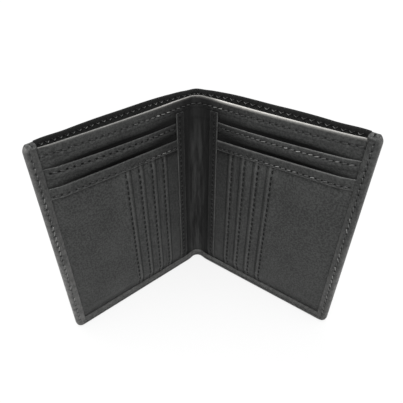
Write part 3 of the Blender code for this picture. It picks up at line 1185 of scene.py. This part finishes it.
# How strongly painted shade darkens the upright rows' needle holes
upright_hole_share = 1.3
leaf_tuck = 2.5 * mm
leaf_tail = 5 * mm
leaf_fold = 4.2 * mm
leaf_slope = (5.6 * mm, 8 * mm)
leaf_puff = 0.25 * mm
# Painted highlight on the puff beside each upright pocket's mouth and on its fold
leaf_highlight_share = 0.5
leaf_highlight_spot = (1 * mm, 0.85 * mm)
leaf_fold_share = 0.1
leaf_squeeze_share = 0.42
leaf_free_heights = (5.4 * mm, 13 * mm)
leaf_free_run = 7 * mm
strip_squeeze_share = 0.75
strip_free_heights = (5.4 * mm, 10 * mm)
strip_wall = 0.42 * mm
strip_root = 2.35 * mm
strip_crown = 0.12 * mm
# Painted highlights along the strip's turned edges and painted shade over the rest
strip_highlight_share = 0.9
strip_highlight_reach = 0.45 * mm
strip_inner_highlight_share = 0.4
strip_inner_highlight_reach = 0.5 * mm
strip_shade_share = 0.42


def upright_squeeze(v):
    """The folds flatten where they pass under the band and under the border."""
    free = smooth_step(*leaf_free_heights, v) * smooth_step(band_foot, band_foot - leaf_free_run, v)
    return leaf_squeeze_share + (1 - leaf_squeeze_share) * free


def add_upright_piece(name, side, u, n, seam, material, wear, foot, top, squeeze=upright_squeeze):
    """A piece whose section in u and n is drawn out upwards."""
    v = spread(foot, top, border_step)[:, None] + 0 * u
    u = u + 0 * v
    over = n - leaf_back
    level = leaf_back + np.where(over > 0, over * squeeze(v), over)
    on_face = n > leaf_back + face_share * thin_leather
    sunk = v + upright_pitch / 2
    pressed = seam_relief(u - seam, sunk, upright_dent_share, sunk_length, upright_pitch) * on_face
    level = level + pressed + second_shift(side, u, v)
    places = leather_place(side, u, level, v, 0)
    holes = hole_mark(u - seam, sunk, sunk_length, upright_pitch) * on_face
    # Painted light and shade from the section, and painted shade in the needle holes
    painted_tone = wear * (1 - ridge(u, seam, hole_width)) - upright_hole_share * holes
    return swept_piece(f"{side}_{name}", stack_place(side, u, level, v), places, painted_tone, material)


def leaf_section(number):
    """Section of an upright pocket: its folded mouth rests on the pocket before it,
    then a slope leads down to the sheet that backs them all."""
    mouth = leaf_mouths[number]
    last = number == len(leaf_names) - 1
    tail = stack_end if last else mouth + leaf_pitch + leaf_tail
    lift = 0 if number == 0 else thin_leather + layer_gap
    body = leaf_back + thin_leather
    fold = leaf_back + lift + 2 * thin_leather
    fold_end = mouth + leaf_fold
    slope_start, slope_end = (mouth + along for along in leaf_slope)
    front_marks = (mouth, fold_end, fold_end + thin_leather, slope_start, slope_end, tail)
    front_levels = (fold, fold, fold - thin_leather, fold - thin_leather, body, body)
    back_marks = (mouth, slope_start, slope_end, tail)
    back_levels = (leaf_back + lift, leaf_back + lift, leaf_back, leaf_back)
    seam = mouth + leaf_seam_inset
    shadow = mouth + leaf_pitch - leaf_shadow_inset
    spots = (seam,) if last else (seam, shadow)
    front = refined(mouth + thin_leather, tail, spots, *leaf_steps)
    front = np.union1d(front, front_marks[1:-1])[::-1]
    back = np.union1d(spread(mouth + thin_leather, slope_end, leaf_back_step), [slope_start, tail])
    turn = np.linspace(pi / 2, 3 * pi / 2, fold_points)[1:-1]
    u = np.concatenate([front, mouth + thin_leather + thin_leather * np.cos(turn), back])
    middle = fold - thin_leather
    rounded = middle + thin_leather * np.sin(turn)
    puff = leaf_puff * np.sin(pi * np.clip((front - mouth) / leaf_seam_inset, 0, 1))
    n = [np.interp(front, front_marks, front_levels) + puff, rounded]
    n.append(np.interp(back, back_marks, back_levels))
    # Painted shadow beside the next pocket's mouth, painted highlight on the puff beside this mouth and on
    # the fold
    shade = 0 if last else leaf_shadow_share * ridge(front, shadow, leaf_shadow_reach)
    highlight_level = leaf_highlight_share * ridge(front - mouth, *leaf_highlight_spot)
    wear = np.concatenate([highlight_level - shade, leaf_fold_share + 0 * turn, 0 * back])
    return u, np.concatenate(n), seam, wear


def add_leaves(side, material):
    top = band_foot + leaf_tuck
    for number, name in enumerate(leaf_names):
        u, n, seam, wear = leaf_section(number)
        leaf = add_upright_piece(f"{name}_leaf", side, u, n, seam, material, wear, upright_foot, top)
        ride_as(leaf, side, "pocket_leather", f"{name}_upright_pocket")


def strip_squeeze(v):
    return strip_squeeze_share + (1 - strip_squeeze_share) * smooth_step(*strip_free_heights, v)


def add_strip(side, material):
    """Narrow strip sewn over the pockets' ends and turned down round them."""
    radius = thin_leather
    face = leaf_back + 2 * thin_leather
    round_foot = face - radius
    start, end = strip_start + radius, strip_end - radius
    turn = np.linspace(pi / 2, 0, roll_points)
    flat = refined(start, end, (strip_seam,), *strip_steps)
    u = [start - radius * np.cos(turn[::-1]), flat, end + radius * np.cos(turn)]
    n = [round_foot + radius * np.sin(turn[::-1]), face + 0 * flat, round_foot + radius * np.sin(turn)]
    inside = strip_start + strip_wall
    u.append([strip_end, inside, inside, strip_start])
    n.append([leaf_back, leaf_back, strip_root, strip_root])
    u, n = np.concatenate(u), np.concatenate(n)
    keep = np.concatenate([[True], (np.abs(np.diff(u)) + np.abs(np.diff(n))) > merge_distance])
    u, n = u[keep][::-1], n[keep][::-1]
    crown = strip_crown * np.sin(pi * np.clip((u - strip_start) / (strip_end - strip_start), 0, 1))
    n = n + np.where(n > face - merge_distance, crown, 0)
    # Painted highlights along both turned edges, painted shade over the rest of the strip
    outer_edge_highlight = strip_highlight_share * ridge(u, strip_end, strip_highlight_reach)
    inner_edge_highlight = strip_inner_highlight_share * ridge(u, strip_start, strip_inner_highlight_reach)
    wear = (outer_edge_highlight + inner_edge_highlight - strip_shade_share) * (n > leaf_back + merge_distance)
    strip = add_upright_piece(
        "strip", side, u, n, strip_seam, material, wear, upright_foot, strip_top, strip_squeeze
    )
    ride_as(strip, side, "pocket_leather", "spine_strip")


def add_note_lining(side, material):
    """Thin cloth on the inside of the outer leather."""
    height_step, along_step = lining_steps
    top = shell_height - cover_hem_depth - layer_gap
    end = border_edge - layer_gap
    heights = spread(lining_foot, top, height_step)
    v = np.concatenate([heights, heights[::-1]])
    n = np.concatenate([lining_level + lining_cloth + 0 * heights, lining_level + 0 * heights])
    s = spread(-spine_length, end, along_step)[:, None] + 0 * v
    v = v + 0 * s
    level = n + wall_uneven(side, s, v)
    grid = flush(wall_place(side, s, level, v), s, -spine_length)
    places = leather_place(side, s, level, v, -spine_length)
    lining = swept_piece(f"{side}_note_lining", grid, places, 0 * s, material)
    bend_over_fold(lining)
    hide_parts(f"{side}_bill_lining", "spine_lining")


# Threads

thread_sides = 6
thread_rings = 9
thread_end_share = 0.5
taper_power = 0.5
row_slack_share = 0.01
stitch_start_share = 0.14
stitch_length_share = 0.72
stray = 0.08 * mm
sink_ends = (0.16 * mm, 0.3 * mm)
stitch_rise = 0.34 * mm
rise_power = 0.6
least_gleam_share = 0.2
gleam_power = 1.5
plain_slant = 0.25 * mm
border_slant = 0.5 * mm
border_proud = 0.12 * mm
border_sink = 0.1 * mm
back_sink = 0.2 * mm
hem_back_sink = 0.16 * mm
hem_face = 0.75 * mm
hem_vee = 1 * mm
row_end_gap = 1 * mm
strip_row_foot = 6 * mm
strip_row_sink = 0.6 * mm
leaf_row_foot = 7 * mm
leaf_row_sink = 0.65 * mm


def add_stitches(name, place, start, end, material, gleam, pitch, proud=0, slant=plain_slant, vee=0):
    """A row of stitches between the holes from start to end. The place call turns
    along, across and lift into world points. Gleam gives the middle, the reach and
    the strength of the stretch where the thread is painted pale as a highlight."""
    rng = random.Random(name)
    share = np.linspace(0, 1, thread_rings)[:, None]
    turn = np.arange(thread_sides) * 2 * pi / thread_sides
    points, faces, places, wear = [], [], [], []
    middle, reach, strength = gleam
    for number in range(ceil(start / pitch - row_slack_share), floor(end / pitch + row_slack_share)):
        arch = np.sin(pi * share)
        round_radius = thread_radius * (thread_end_share + (1 - thread_end_share) * arch**taper_power)
        along = (number + stitch_start_share + stitch_length_share * share) * pitch + 0 * turn
        lean = 2 * share - 1
        aside = rng.uniform(-stray, stray) + slant * lean + vee * (np.abs(lean) - 0.5)
        across = aside + round_radius * np.cos(turn)
        sunk = rng.uniform(*sink_ends)
        lift = proud + stitch_rise * arch**rise_power - sunk + round_radius * np.sin(turn)
        ring = place(along, across, lift)
        first = len(points)
        points.extend(ring.reshape(-1, 3))
        spun = np.stack([along, thread_radius * turn + 0 * along, number * mm + 0 * along], -1)
        places.extend(spun.reshape(-1, 3))
        # Painted highlight, uneven from stitch to stitch
        uneven = rng.uniform(least_gleam_share, 1) ** gleam_power
        thread_highlight = strength * ridge(number * pitch, middle, reach) * uneven
        wear.extend(thread_highlight + np.zeros(along.size))
        faces.extend(tuple(first + index for index in face) for face in tube_faces(len(share), len(turn)))
    return add_mesh(name, points, faces, places, wear, material)


def row_on_face(side, seam, face, shift, height, extra=no_extra, start=0, place=stack_place):
    """Places along a lying seam, on the face of a sheet."""

    def put(along, across, lift):
        u = along + start
        v = height(side, u, seam + across)
        level = face + shift(side, u, v) + extra(u, v) - groove_share * seam_depth + lift
        return place(side, u, level, v)

    return put


def row_upright(side, seam, face, squeeze):
    """Places along an upright seam."""

    def put(along, across, lift):
        u, v = seam + across, along
        level = leaf_back + (face - leaf_back) * squeeze(v) + second_shift(side, u, v)
        return stack_place(side, u, level - groove_share * seam_depth + lift, v)

    return put


def row_on_border_side(side, outside):
    def put(along, across, lift):
        v, inset = along + side_start, border_seams[side] + across
        if outside:
            return wall_place(side, edge_middle - inset, back_sink - shell_leather / 2 - lift, v)
        return side_point(side, v, inset, border_middle, shell_leather / 2 - border_sink + lift)

    return put


def row_on_foot(side, outside):
    def put(along, across, lift):
        s, inset = along - spine_length, border_seams[side] + across
        if outside:
            points = wall_place(side, s, back_sink - shell_leather / 2 - lift, wall_foot + 0 * s)
            points[..., 2] = foot_middle + inset
            return points
        return foot_point(side, s, inset, border_middle, shell_leather / 2 - border_sink + lift)

    return put


def row_on_hem(side, outside):
    """The hem of the outer leather, sewn through: it shows on both faces."""

    def put(along, across, lift):
        s, v = along - spine_length, cover_seam + across
        level = hem_back_sink - shell_leather / 2 - lift if outside else hem_face + lift
        return wall_place(side, s, level + wall_uneven(side, s, v), v)

    return put


def straight_rows(side):
    """Rows that ride on a half: places, start, end, pitch, how proud they lie and slant."""
    fold_face = leaf_back + 2 * thin_leather
    pitches = row_pitches[side]
    upper_face = first_pocket_back + 2 * thin_leather
    upper = row_on_face(side, first_seam, upper_face, first_shift, first_height)
    band = row_on_face(side, band_seam, fold_face, second_shift, second_height, band_swell)
    strip = row_upright(side, strip_seam, fold_face + strip_crown, strip_squeeze)
    border, border_back = (row_on_border_side(side, outside) for outside in (False, True))
    border_end = wall_top - side_start - row_end_gap
    rows = {
        "upper_pocket_thread": (upper, strip_end, border_edge, pitches["upper"], 0, plain_slant),
        "band_thread": (band, strip_end, border_edge, pitches["band"], 0, plain_slant),
        "strip_thread": (strip, strip_row_foot, strip_top, upright_pitch, -strip_row_sink, plain_slant),
        "border_thread": (border, 0, border_end, stitch_pitch, border_proud, border_slant),
        "border_back_thread": (border_back, 0, border_end, stitch_pitch, 0, plain_slant),
    }
    for number, name in enumerate(leaf_names):
        face = fold_face + (0 if number == 0 else thin_leather + layer_gap)
        put = row_upright(side, leaf_mouths[number] + leaf_seam_inset, face, upright_squeeze)
        row = (put, leaf_row_foot, band_foot, upright_pitch, -leaf_row_sink, plain_slant)
        rows[f"{name}_leaf_thread"] = row
    return rows


def bent_rows(side):
    """Rows that run on over the spine, from the plane X = 0: places, end, pitch and vee."""
    pitches = row_pitches[side]
    panel_face = panel_back + panel_hem + panel_leather + panel_proud
    panel = row_on_face(side, panel_seam, panel_face, panel_shift, level_mouth, gusset_creases(side),
                        inner_centre(), inner_leather_place)
    foot_end = foot_start + spine_length
    hem_end = border_edge - row_end_gap + spine_length
    return {
        "panel_thread": (panel, border_edge - inner_centre(), pitches["panel"], 0),
        "foot_thread": (row_on_foot(side, False), foot_end, stitch_pitch, 0),
        "foot_back_thread": (row_on_foot(side, True), foot_end, stitch_pitch, 0),
        "hem_thread": (row_on_hem(side, False), hem_end, pitches["hem"], hem_vee),
        "hem_back_thread": (row_on_hem(side, True), foot_end, pitches["hem"], 0),
    }


def add_half_threads(side, material):
    for name, (put, start, end, pitch, proud, slant) in straight_rows(side).items():
        gleam = gleams[side].get(name, no_gleam)
        row = add_stitches(f"{side}_{name}", put, start, end, material, gleam, pitch, proud, slant)
        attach(row, f"{side}_half")
    for name, (put, end, pitch, vee) in bent_rows(side).items():
        gleam = gleams[side].get(name, no_gleam)
        row = add_stitches(f"{side}_{name}", put, 0, end, material, gleam, pitch, vee=vee)
        blend_at_fold(row)


# Materials: noises are given as scale, detail and roughness, bumps as strength and depth

black = (0.018, 0.0183, 0.018)
charcoal = (0.062, 0.0635, 0.062)
# Blacks of painted shade: in holes, hollows and mouths, over the gusset, and towards the spine
shade_black = (0.002, 0.002, 0.002)
gusset_shade_black = (0.004, 0.004, 0.004)
gusset_shade_grey = (0.034, 0.0345, 0.034)
spine_shade_black = (0.006, 0.006, 0.006)
# Pale colours of painted highlights on folds and edges
outer_highlight_colour = (0.15, 0.148, 0.145)
pocket_highlight_colour = (0.14, 0.14, 0.137)
inner_highlight_colour = (0.42, 0.41, 0.39)
thread_black = (0.008, 0.008, 0.008)
thread_grey = (0.03, 0.03, 0.03)
# Pale colour of the painted highlights on the threads
thread_highlight_colour = (0.22, 0.22, 0.215)
cloth_black = (0.01, 0.01, 0.0105)
cloth_grey = (0.03, 0.03, 0.031)
grain_scale = 1500
grain_ends = (0.15, 0.75)
fine_noise = (grain_scale * 3.4, 4, 0.6)
crease_noise = (420, 5, 0.62)
grain_shares = (0.55, 0.3, 0.5)
grain_bump = (0.8, 0.09 * mm)
mottle_noise = (58, 4, 0.6)
mottle_ends = (0.32, 0.68)
speckle_noise = (900, 3, 0.65)
speckle_ends = (0.36, 0.64)
tone_shares = (0.17, 0.6, 0.15)
# Patches in which the painted highlights show stronger
highlight_noise = (330, 4, 0.65)
highlight_noise_ends = (0.35, 0.62)
least_highlights = {"outer": 0.4, "pocket": 0.5, "inner": 0.8}
# Painted shade: how negative the painted value must be for full black
painted_shade_ends = (0, -0.7)
leather_roughness = (0.52, 0.46)
highlight_roughness_share = 0.12
shade_roughness_share = 0.4
gusset_roughness_share = 0.25
leather_gloss = {"Specular IOR Level": 0.14, "Sheen Weight": 0.05, "Sheen Roughness": 0.5}
# Painted shade over the gusset: upright streaks for its creases, darker at the sides and high up
streak_stretch = (1, 1, 0.1)
streak_noise = (340, 5, 0.7)
streak_ends = (0.34, 0.68)
gusset_side_ends = (3.5 * mm, 7.5 * mm)
gusset_side_share = 0.8
gusset_top_ends = (80 * mm, 116 * mm)
gusset_top_share = 0.6
gusset_edge_ends = (8.5 * mm, 11.5 * mm)
# Painted shade towards the spine
dark_ends = (10 * mm, 42 * mm)
dark_share = 0.68
dark_heights = (60 * mm, 115 * mm)
dark_foot_share = 0.4
twist_turn = radians(38)
twist_wave = {"Scale": 900, "Distortion": 0.6, "Detail": 2}
thread_bump = (0.6, 0.08 * mm)
thread_roughness = (0.5, 0.34)
weave_wave = {"Scale": 800, "Distortion": 0.4, "Detail": 1}
fluff_noise = (900, 3, 0.5)
fluff_ends = (0.3, 0.7)
least_fluff_share = 0.5
weave_bump = (0.8, 0.08 * mm)
cloth_roughness = (0.9, 0.75)
cloth_sheen = 0.2
shadow_samples = 16


def new_material(name):
    material = bpy.data.materials.new(name)
    material.use_nodes = True
    return material, material.node_tree, material.node_tree.nodes["Principled BSDF"]


def add_node(tree, kind, inputs=None, **settings):
    """A node with its settings, and with its inputs set or linked."""
    node = tree.nodes.new(kind)
    for name, value in settings.items():
        setattr(node, name, value)
    for key, value in (inputs or {}).items():
        if isinstance(value, bpy.types.NodeSocket):
            tree.links.new(value, node.inputs[key])
        else:
            node.inputs[key].default_value = value
    return node


def attribute(tree, name, output):
    return add_node(tree, "ShaderNodeAttribute", attribute_name=name).outputs[output]


def map_range(tree, value, low, high, new_low, new_high):
    keys = {"Value": value, "From Min": low, "From Max": high, "To Min": new_low, "To Max": new_high}
    return add_node(tree, "ShaderNodeMapRange", keys, interpolation_type="SMOOTHSTEP").outputs["Result"]


def math(tree, operation, first, second):
    return add_node(tree, "ShaderNodeMath", {0: first, 1: second}, operation=operation).outputs[0]


def weighted_sum(tree, values, shares):
    total = 0
    for value, share in zip(values, shares):
        total = math(tree, "ADD", math(tree, "MULTIPLY", value, share), total)
    return total


def from_spine(tree, place):
    """How far a place is from the plane X = 0, and its height."""
    parts = add_node(tree, "ShaderNodeSeparateXYZ", {0: place}).outputs
    return math(tree, "ABSOLUTE", parts["X"], 0), parts["Z"]


def finish_surface(tree, shader, colour, roughness, height, bump):
    strength, depth = bump
    keys = {"Height": height, "Strength": strength, "Distance": depth}
    normal = add_node(tree, "ShaderNodeBump", keys).outputs["Normal"]
    for socket, value in (("Base Color", colour), ("Roughness", roughness), ("Normal", normal)):
        tree.links.new(value, shader.inputs[socket])


def mix_colours(tree, share, first, second):
    node = add_node(tree, "ShaderNodeMix", {"Factor": share}, data_type="RGBA")
    for socket, colour in (("A", first), ("B", second)):
        target = [s for s in node.inputs if s.name == socket and s.type == "RGBA"][0]
        if isinstance(colour, bpy.types.NodeSocket):
            tree.links.new(colour, target)
        else:
            target.default_value = (*colour, 1)
    return [s for s in node.outputs if s.type == "RGBA"][0]


def noise(tree, place, scale, detail, roughness):
    keys = {"Vector": place, "Scale": scale, "Detail": detail, "Roughness": roughness}
    return add_node(tree, "ShaderNodeTexNoise", keys).outputs["Fac"]


def add_gusset_shade(tree, place, colour):
    """Mixes in painted shade over the gusset near the plane X = 0: darker upright streaks for its creases,
    darker still at its sides and high up.
    """
    keys = {"Vector": place, "Scale": streak_stretch}
    drawn = add_node(tree, "ShaderNodeMapping", keys).outputs["Vector"]
    streaks = map_range(tree, noise(tree, drawn, *streak_noise), *streak_ends, 0, 1)
    gusset = mix_colours(tree, streaks, gusset_shade_black, gusset_shade_grey)
    away, height = from_spine(tree, place)
    beside = map_range(tree, away, *gusset_side_ends, 0, gusset_side_share)
    gusset = mix_colours(tree, beside, gusset, gusset_shade_black)
    high = map_range(tree, height, *gusset_top_ends, 0, gusset_top_share)
    gusset = mix_colours(tree, high, gusset, gusset_shade_black)
    off_gusset = map_range(tree, away, *gusset_edge_ends, 0, 1)
    return mix_colours(tree, off_gusset, gusset, colour), off_gusset


def paint_spine_shade(tree, place, colour):
    """Painted shade: the leather is painted blacker towards the spine, most of all high up."""
    away, height = from_spine(tree, place)
    near = map_range(tree, away, *dark_ends, dark_share, 0)
    share = math(tree, "MULTIPLY", near, map_range(tree, height, *dark_heights, dark_foot_share, 1))
    return mix_colours(tree, share, colour, spine_shade_black)


def leather_material(name, highlight_colour, least_highlight, has_gusset=False, outside=False):
    """Fine-grained leather: pebbles with creases between them, soft mottling, painted
    highlights that make folded edges and other places paler and smoother, and painted
    shade that makes holes, hollows and the spine side blacker."""
    material, tree, shader = new_material(name)
    place = attribute(tree, "place", "Vector")
    wear = attribute(tree, "wear", "Fac")
    cells = {"Vector": place, "Scale": grain_scale, "Randomness": 1}
    pebbles = add_node(tree, "ShaderNodeTexVoronoi", cells, feature="SMOOTH_F1").outputs["Distance"]
    pebble = map_range(tree, pebbles, *grain_ends, 1, 0)
    fine, crease = (noise(tree, place, *pattern) for pattern in (fine_noise, crease_noise))
    height = weighted_sum(tree, (pebble, fine, crease), grain_shares)

    mottle = map_range(tree, noise(tree, place, *mottle_noise), *mottle_ends, 0, 1)
    speckle = map_range(tree, noise(tree, place, *speckle_noise), *speckle_ends, 0, 1)
    tone = weighted_sum(tree, (mottle, speckle, pebble), tone_shares)
    colour = mix_colours(tree, tone, black, charcoal)
    if not outside:
        colour = paint_spine_shade(tree, place, colour)
    if has_gusset:
        colour, off_gusset = add_gusset_shade(tree, place, colour)
    # Painted highlights: a positive painted value mixes towards the pale colour, in patches
    highlight_patches = map_range(tree, noise(tree, place, *highlight_noise), *highlight_noise_ends, least_highlight, 1)
    painted_tone = math(tree, "MULTIPLY", map_range(tree, wear, 0, 1, 0, 1), highlight_patches)
    colour = mix_colours(tree, painted_tone, colour, highlight_colour)
    # Painted shade: a negative painted value mixes towards black
    hole = map_range(tree, wear, *painted_shade_ends, 0, 1)
    colour = mix_colours(tree, hole, colour, shade_black)
    roughness = map_range(tree, mottle, 0, 1, *leather_roughness)
    roughness = math(tree, "SUBTRACT", roughness, math(tree, "MULTIPLY", painted_tone, highlight_roughness_share))
    roughness = math(tree, "ADD", roughness, math(tree, "MULTIPLY", hole, shade_roughness_share))
    if has_gusset:
        rougher = map_range(tree, off_gusset, 0, 1, gusset_roughness_share, 0)
        roughness = math(tree, "ADD", roughness, rougher)
    finish_surface(tree, shader, colour, roughness, height, grain_bump)
    for socket, value in leather_gloss.items():
        shader.inputs[socket].default_value = value
    return material


def thread_material():
    """Twisted black thread."""
    material, tree, shader = new_material("thread")
    keys = {"Vector": attribute(tree, "place", "Vector"), "Rotation": (0, 0, twist_turn)}
    turned = add_node(tree, "ShaderNodeMapping", keys).outputs["Vector"]
    twist = add_node(tree, "ShaderNodeTexWave", {"Vector": turned, **twist_wave}).outputs["Fac"]
    colour = mix_colours(tree, twist, thread_black, thread_grey)
    # Painted highlights: the threads are painted pale where they catch the light
    colour = mix_colours(tree, attribute(tree, "wear", "Fac"), colour, thread_highlight_colour)
    roughness = map_range(tree, twist, 0, 1, *thread_roughness)
    finish_surface(tree, shader, colour, roughness, twist, thread_bump)
    return material


def cloth_material():
    """Plain woven black lining cloth."""
    material, tree, shader = new_material("lining_cloth")
    keys = {"Vector": attribute(tree, "place", "Vector"), **weave_wave}
    threads = []
    for direction in ("X", "Z"):
        wave = add_node(tree, "ShaderNodeTexWave", keys, bands_direction=direction)
        threads.append(wave.outputs["Fac"])
    weave = math(tree, "MULTIPLY", *threads)
    fluff = map_range(tree, noise(tree, keys["Vector"], *fluff_noise), *fluff_ends, least_fluff_share, 1)
    tone = math(tree, "MULTIPLY", weave, fluff)
    colour = mix_colours(tree, tone, cloth_black, cloth_grey)
    roughness = map_range(tree, tone, 0, 1, *cloth_roughness)
    finish_surface(tree, shader, colour, roughness, weave, weave_bump)
    shader.inputs["Sheen Weight"].default_value = cloth_sheen
    return material


# Studio


def add_camera():
    level_run = cos(camera_pitch)
    forward = Vector((sin(camera_yaw) * level_run, cos(camera_yaw) * level_run, -sin(camera_pitch)))
    level_right = Vector((cos(camera_yaw), -sin(camera_yaw), 0))
    level_up = level_right.cross(forward)
    right = level_right * cos(camera_roll) + level_up * sin(camera_roll)
    up = level_up * cos(camera_roll) - level_right * sin(camera_roll)
    data = bpy.data.cameras.new("camera")
    data.lens = focal_pixels / image_width * data.sensor_width
    data.shift_x = -shift_pixels[0] / image_width
    data.shift_y = shift_pixels[1] / image_width
    data.clip_start = clip_start
    camera = bpy.data.objects.new("camera", data)
    turn = Matrix((right, up, -forward)).transposed().to_4x4()
    camera.matrix_world = Matrix.Translation(camera_place) @ turn
    bpy.context.scene.collection.objects.link(camera)
    bpy.context.scene.camera = camera


def add_light(name, direction, distance, size, power):
    """A soft square light that looks at the wallet."""
    data = bpy.data.lights.new(name, "AREA")
    data.size = size
    data.energy = power
    light = bpy.data.objects.new(name, data)
    away = Vector(direction).normalized()
    light.location = Vector((0, 0, shell_height / 2)) + away * distance
    light.rotation_euler = away.to_track_quat("Z", "Y").to_euler()
    bpy.context.scene.collection.objects.link(light)


def sees_white(tree):
    """1 for the rays that see the plain white surround instead of what lights the wallet."""
    path = add_node(tree, "ShaderNodeLightPath").outputs
    mirrored = math(tree, "MAXIMUM", path["Is Glossy Ray"], path["Is Transmission Ray"])
    return math(tree, "MAXIMUM", path["Is Camera Ray"], mirrored)


def add_world():
    world = bpy.data.worlds.new("studio")
    world.use_nodes = True
    tree = world.node_tree
    tree.nodes.clear()
    seen = sees_white(tree)
    lit = add_node(tree, "ShaderNodeBackground", {"Color": (1, 1, 1, 1), "Strength": surround_strength})
    white = add_node(tree, "ShaderNodeBackground", {"Color": (1, 1, 1, 1), "Strength": 1})
    mixed = add_node(tree, "ShaderNodeMixShader", {0: seen, 1: lit.outputs[0], 2: white.outputs[0]})
    add_node(tree, "ShaderNodeOutputWorld", {"Surface": mixed.outputs[0]})
    bpy.context.scene.world = world


def floor_material():
    """White to look at, with a faint shadow. It lights the wallet as pale paper does."""
    material, tree, shader = new_material("floor")
    tree.nodes.remove(shader)
    output = tree.nodes["Material Output"]
    seen = sees_white(tree)
    paper = add_node(tree, "ShaderNodeBsdfDiffuse", {"Color": (*[floor_colour] * 3, 1)})
    # Painted shadow: the glow is turned down where the floor is closed in near the wallet
    keys = {"Distance": contact_reach}
    openness = add_node(tree, "ShaderNodeAmbientOcclusion", keys, samples=shadow_samples)
    open_share = openness.outputs["AO"]
    strength = map_range(tree, open_share, 0, 1, floor_glow - contact_shade, floor_glow)
    place = add_node(tree, "ShaderNodeTexCoord").outputs["Object"]
    away = add_node(tree, "ShaderNodeVectorMath", {0: place}, operation="LENGTH").outputs["Value"]
    strength = math(tree, "ADD", strength, map_range(tree, away, *floor_fade_ends, 0, 1 - floor_glow))
    glow = add_node(tree, "ShaderNodeEmission", {"Color": (1, 1, 1, 1), "Strength": strength})
    faint = add_node(tree, "ShaderNodeBsdfDiffuse", {"Color": (*[floor_shade] * 3, 1)})
    white = add_node(tree, "ShaderNodeAddShader", {0: glow.outputs[0], 1: faint.outputs[0]})
    mixed = add_node(tree, "ShaderNodeMixShader", {0: seen, 1: paper.outputs[0], 2: white.outputs[0]})
    tree.links.new(mixed.outputs[0], output.inputs["Surface"])
    return material


def add_floor():
    reach = floor_reach
    mesh = bpy.data.meshes.new("floor")
    corners = [(-reach, -reach, 0), (reach, -reach, 0), (reach, reach, 0), (-reach, reach, 0)]
    mesh.from_pydata(corners, [], [(0, 1, 2, 3)])
    mesh.materials.append(floor_material())
    floor = bpy.data.objects.new("floor", mesh)
    bpy.context.scene.collection.objects.link(floor)


outer_leather = leather_material("outer_leather", outer_highlight_colour, least_highlights["outer"], outside=True)
pocket_leather = leather_material("pocket_leather", pocket_highlight_colour, least_highlights["pocket"])
inner_leather = leather_material("inner_leather", inner_highlight_colour, least_highlights["inner"], has_gusset=True)
thread = thread_material()
lining = cloth_material()

for side in sides:
    add_cover(side, outer_leather)
    add_border_tip(side, outer_leather)
    add_note_lining(side, lining)
    add_inner_leather(side, inner_leather)
    add_upper_pocket(side, pocket_leather)
    add_lower_pocket(side, pocket_leather)
    add_band(side, pocket_leather)
    add_leaves(side, pocket_leather)
    add_strip(side, pocket_leather)
    add_half_threads(side, thread)

bpy.context.scene.view_settings.view_transform = "Standard"
add_camera()
add_floor()
add_world()
for name, values in lights.items():
    add_light(name, *values)
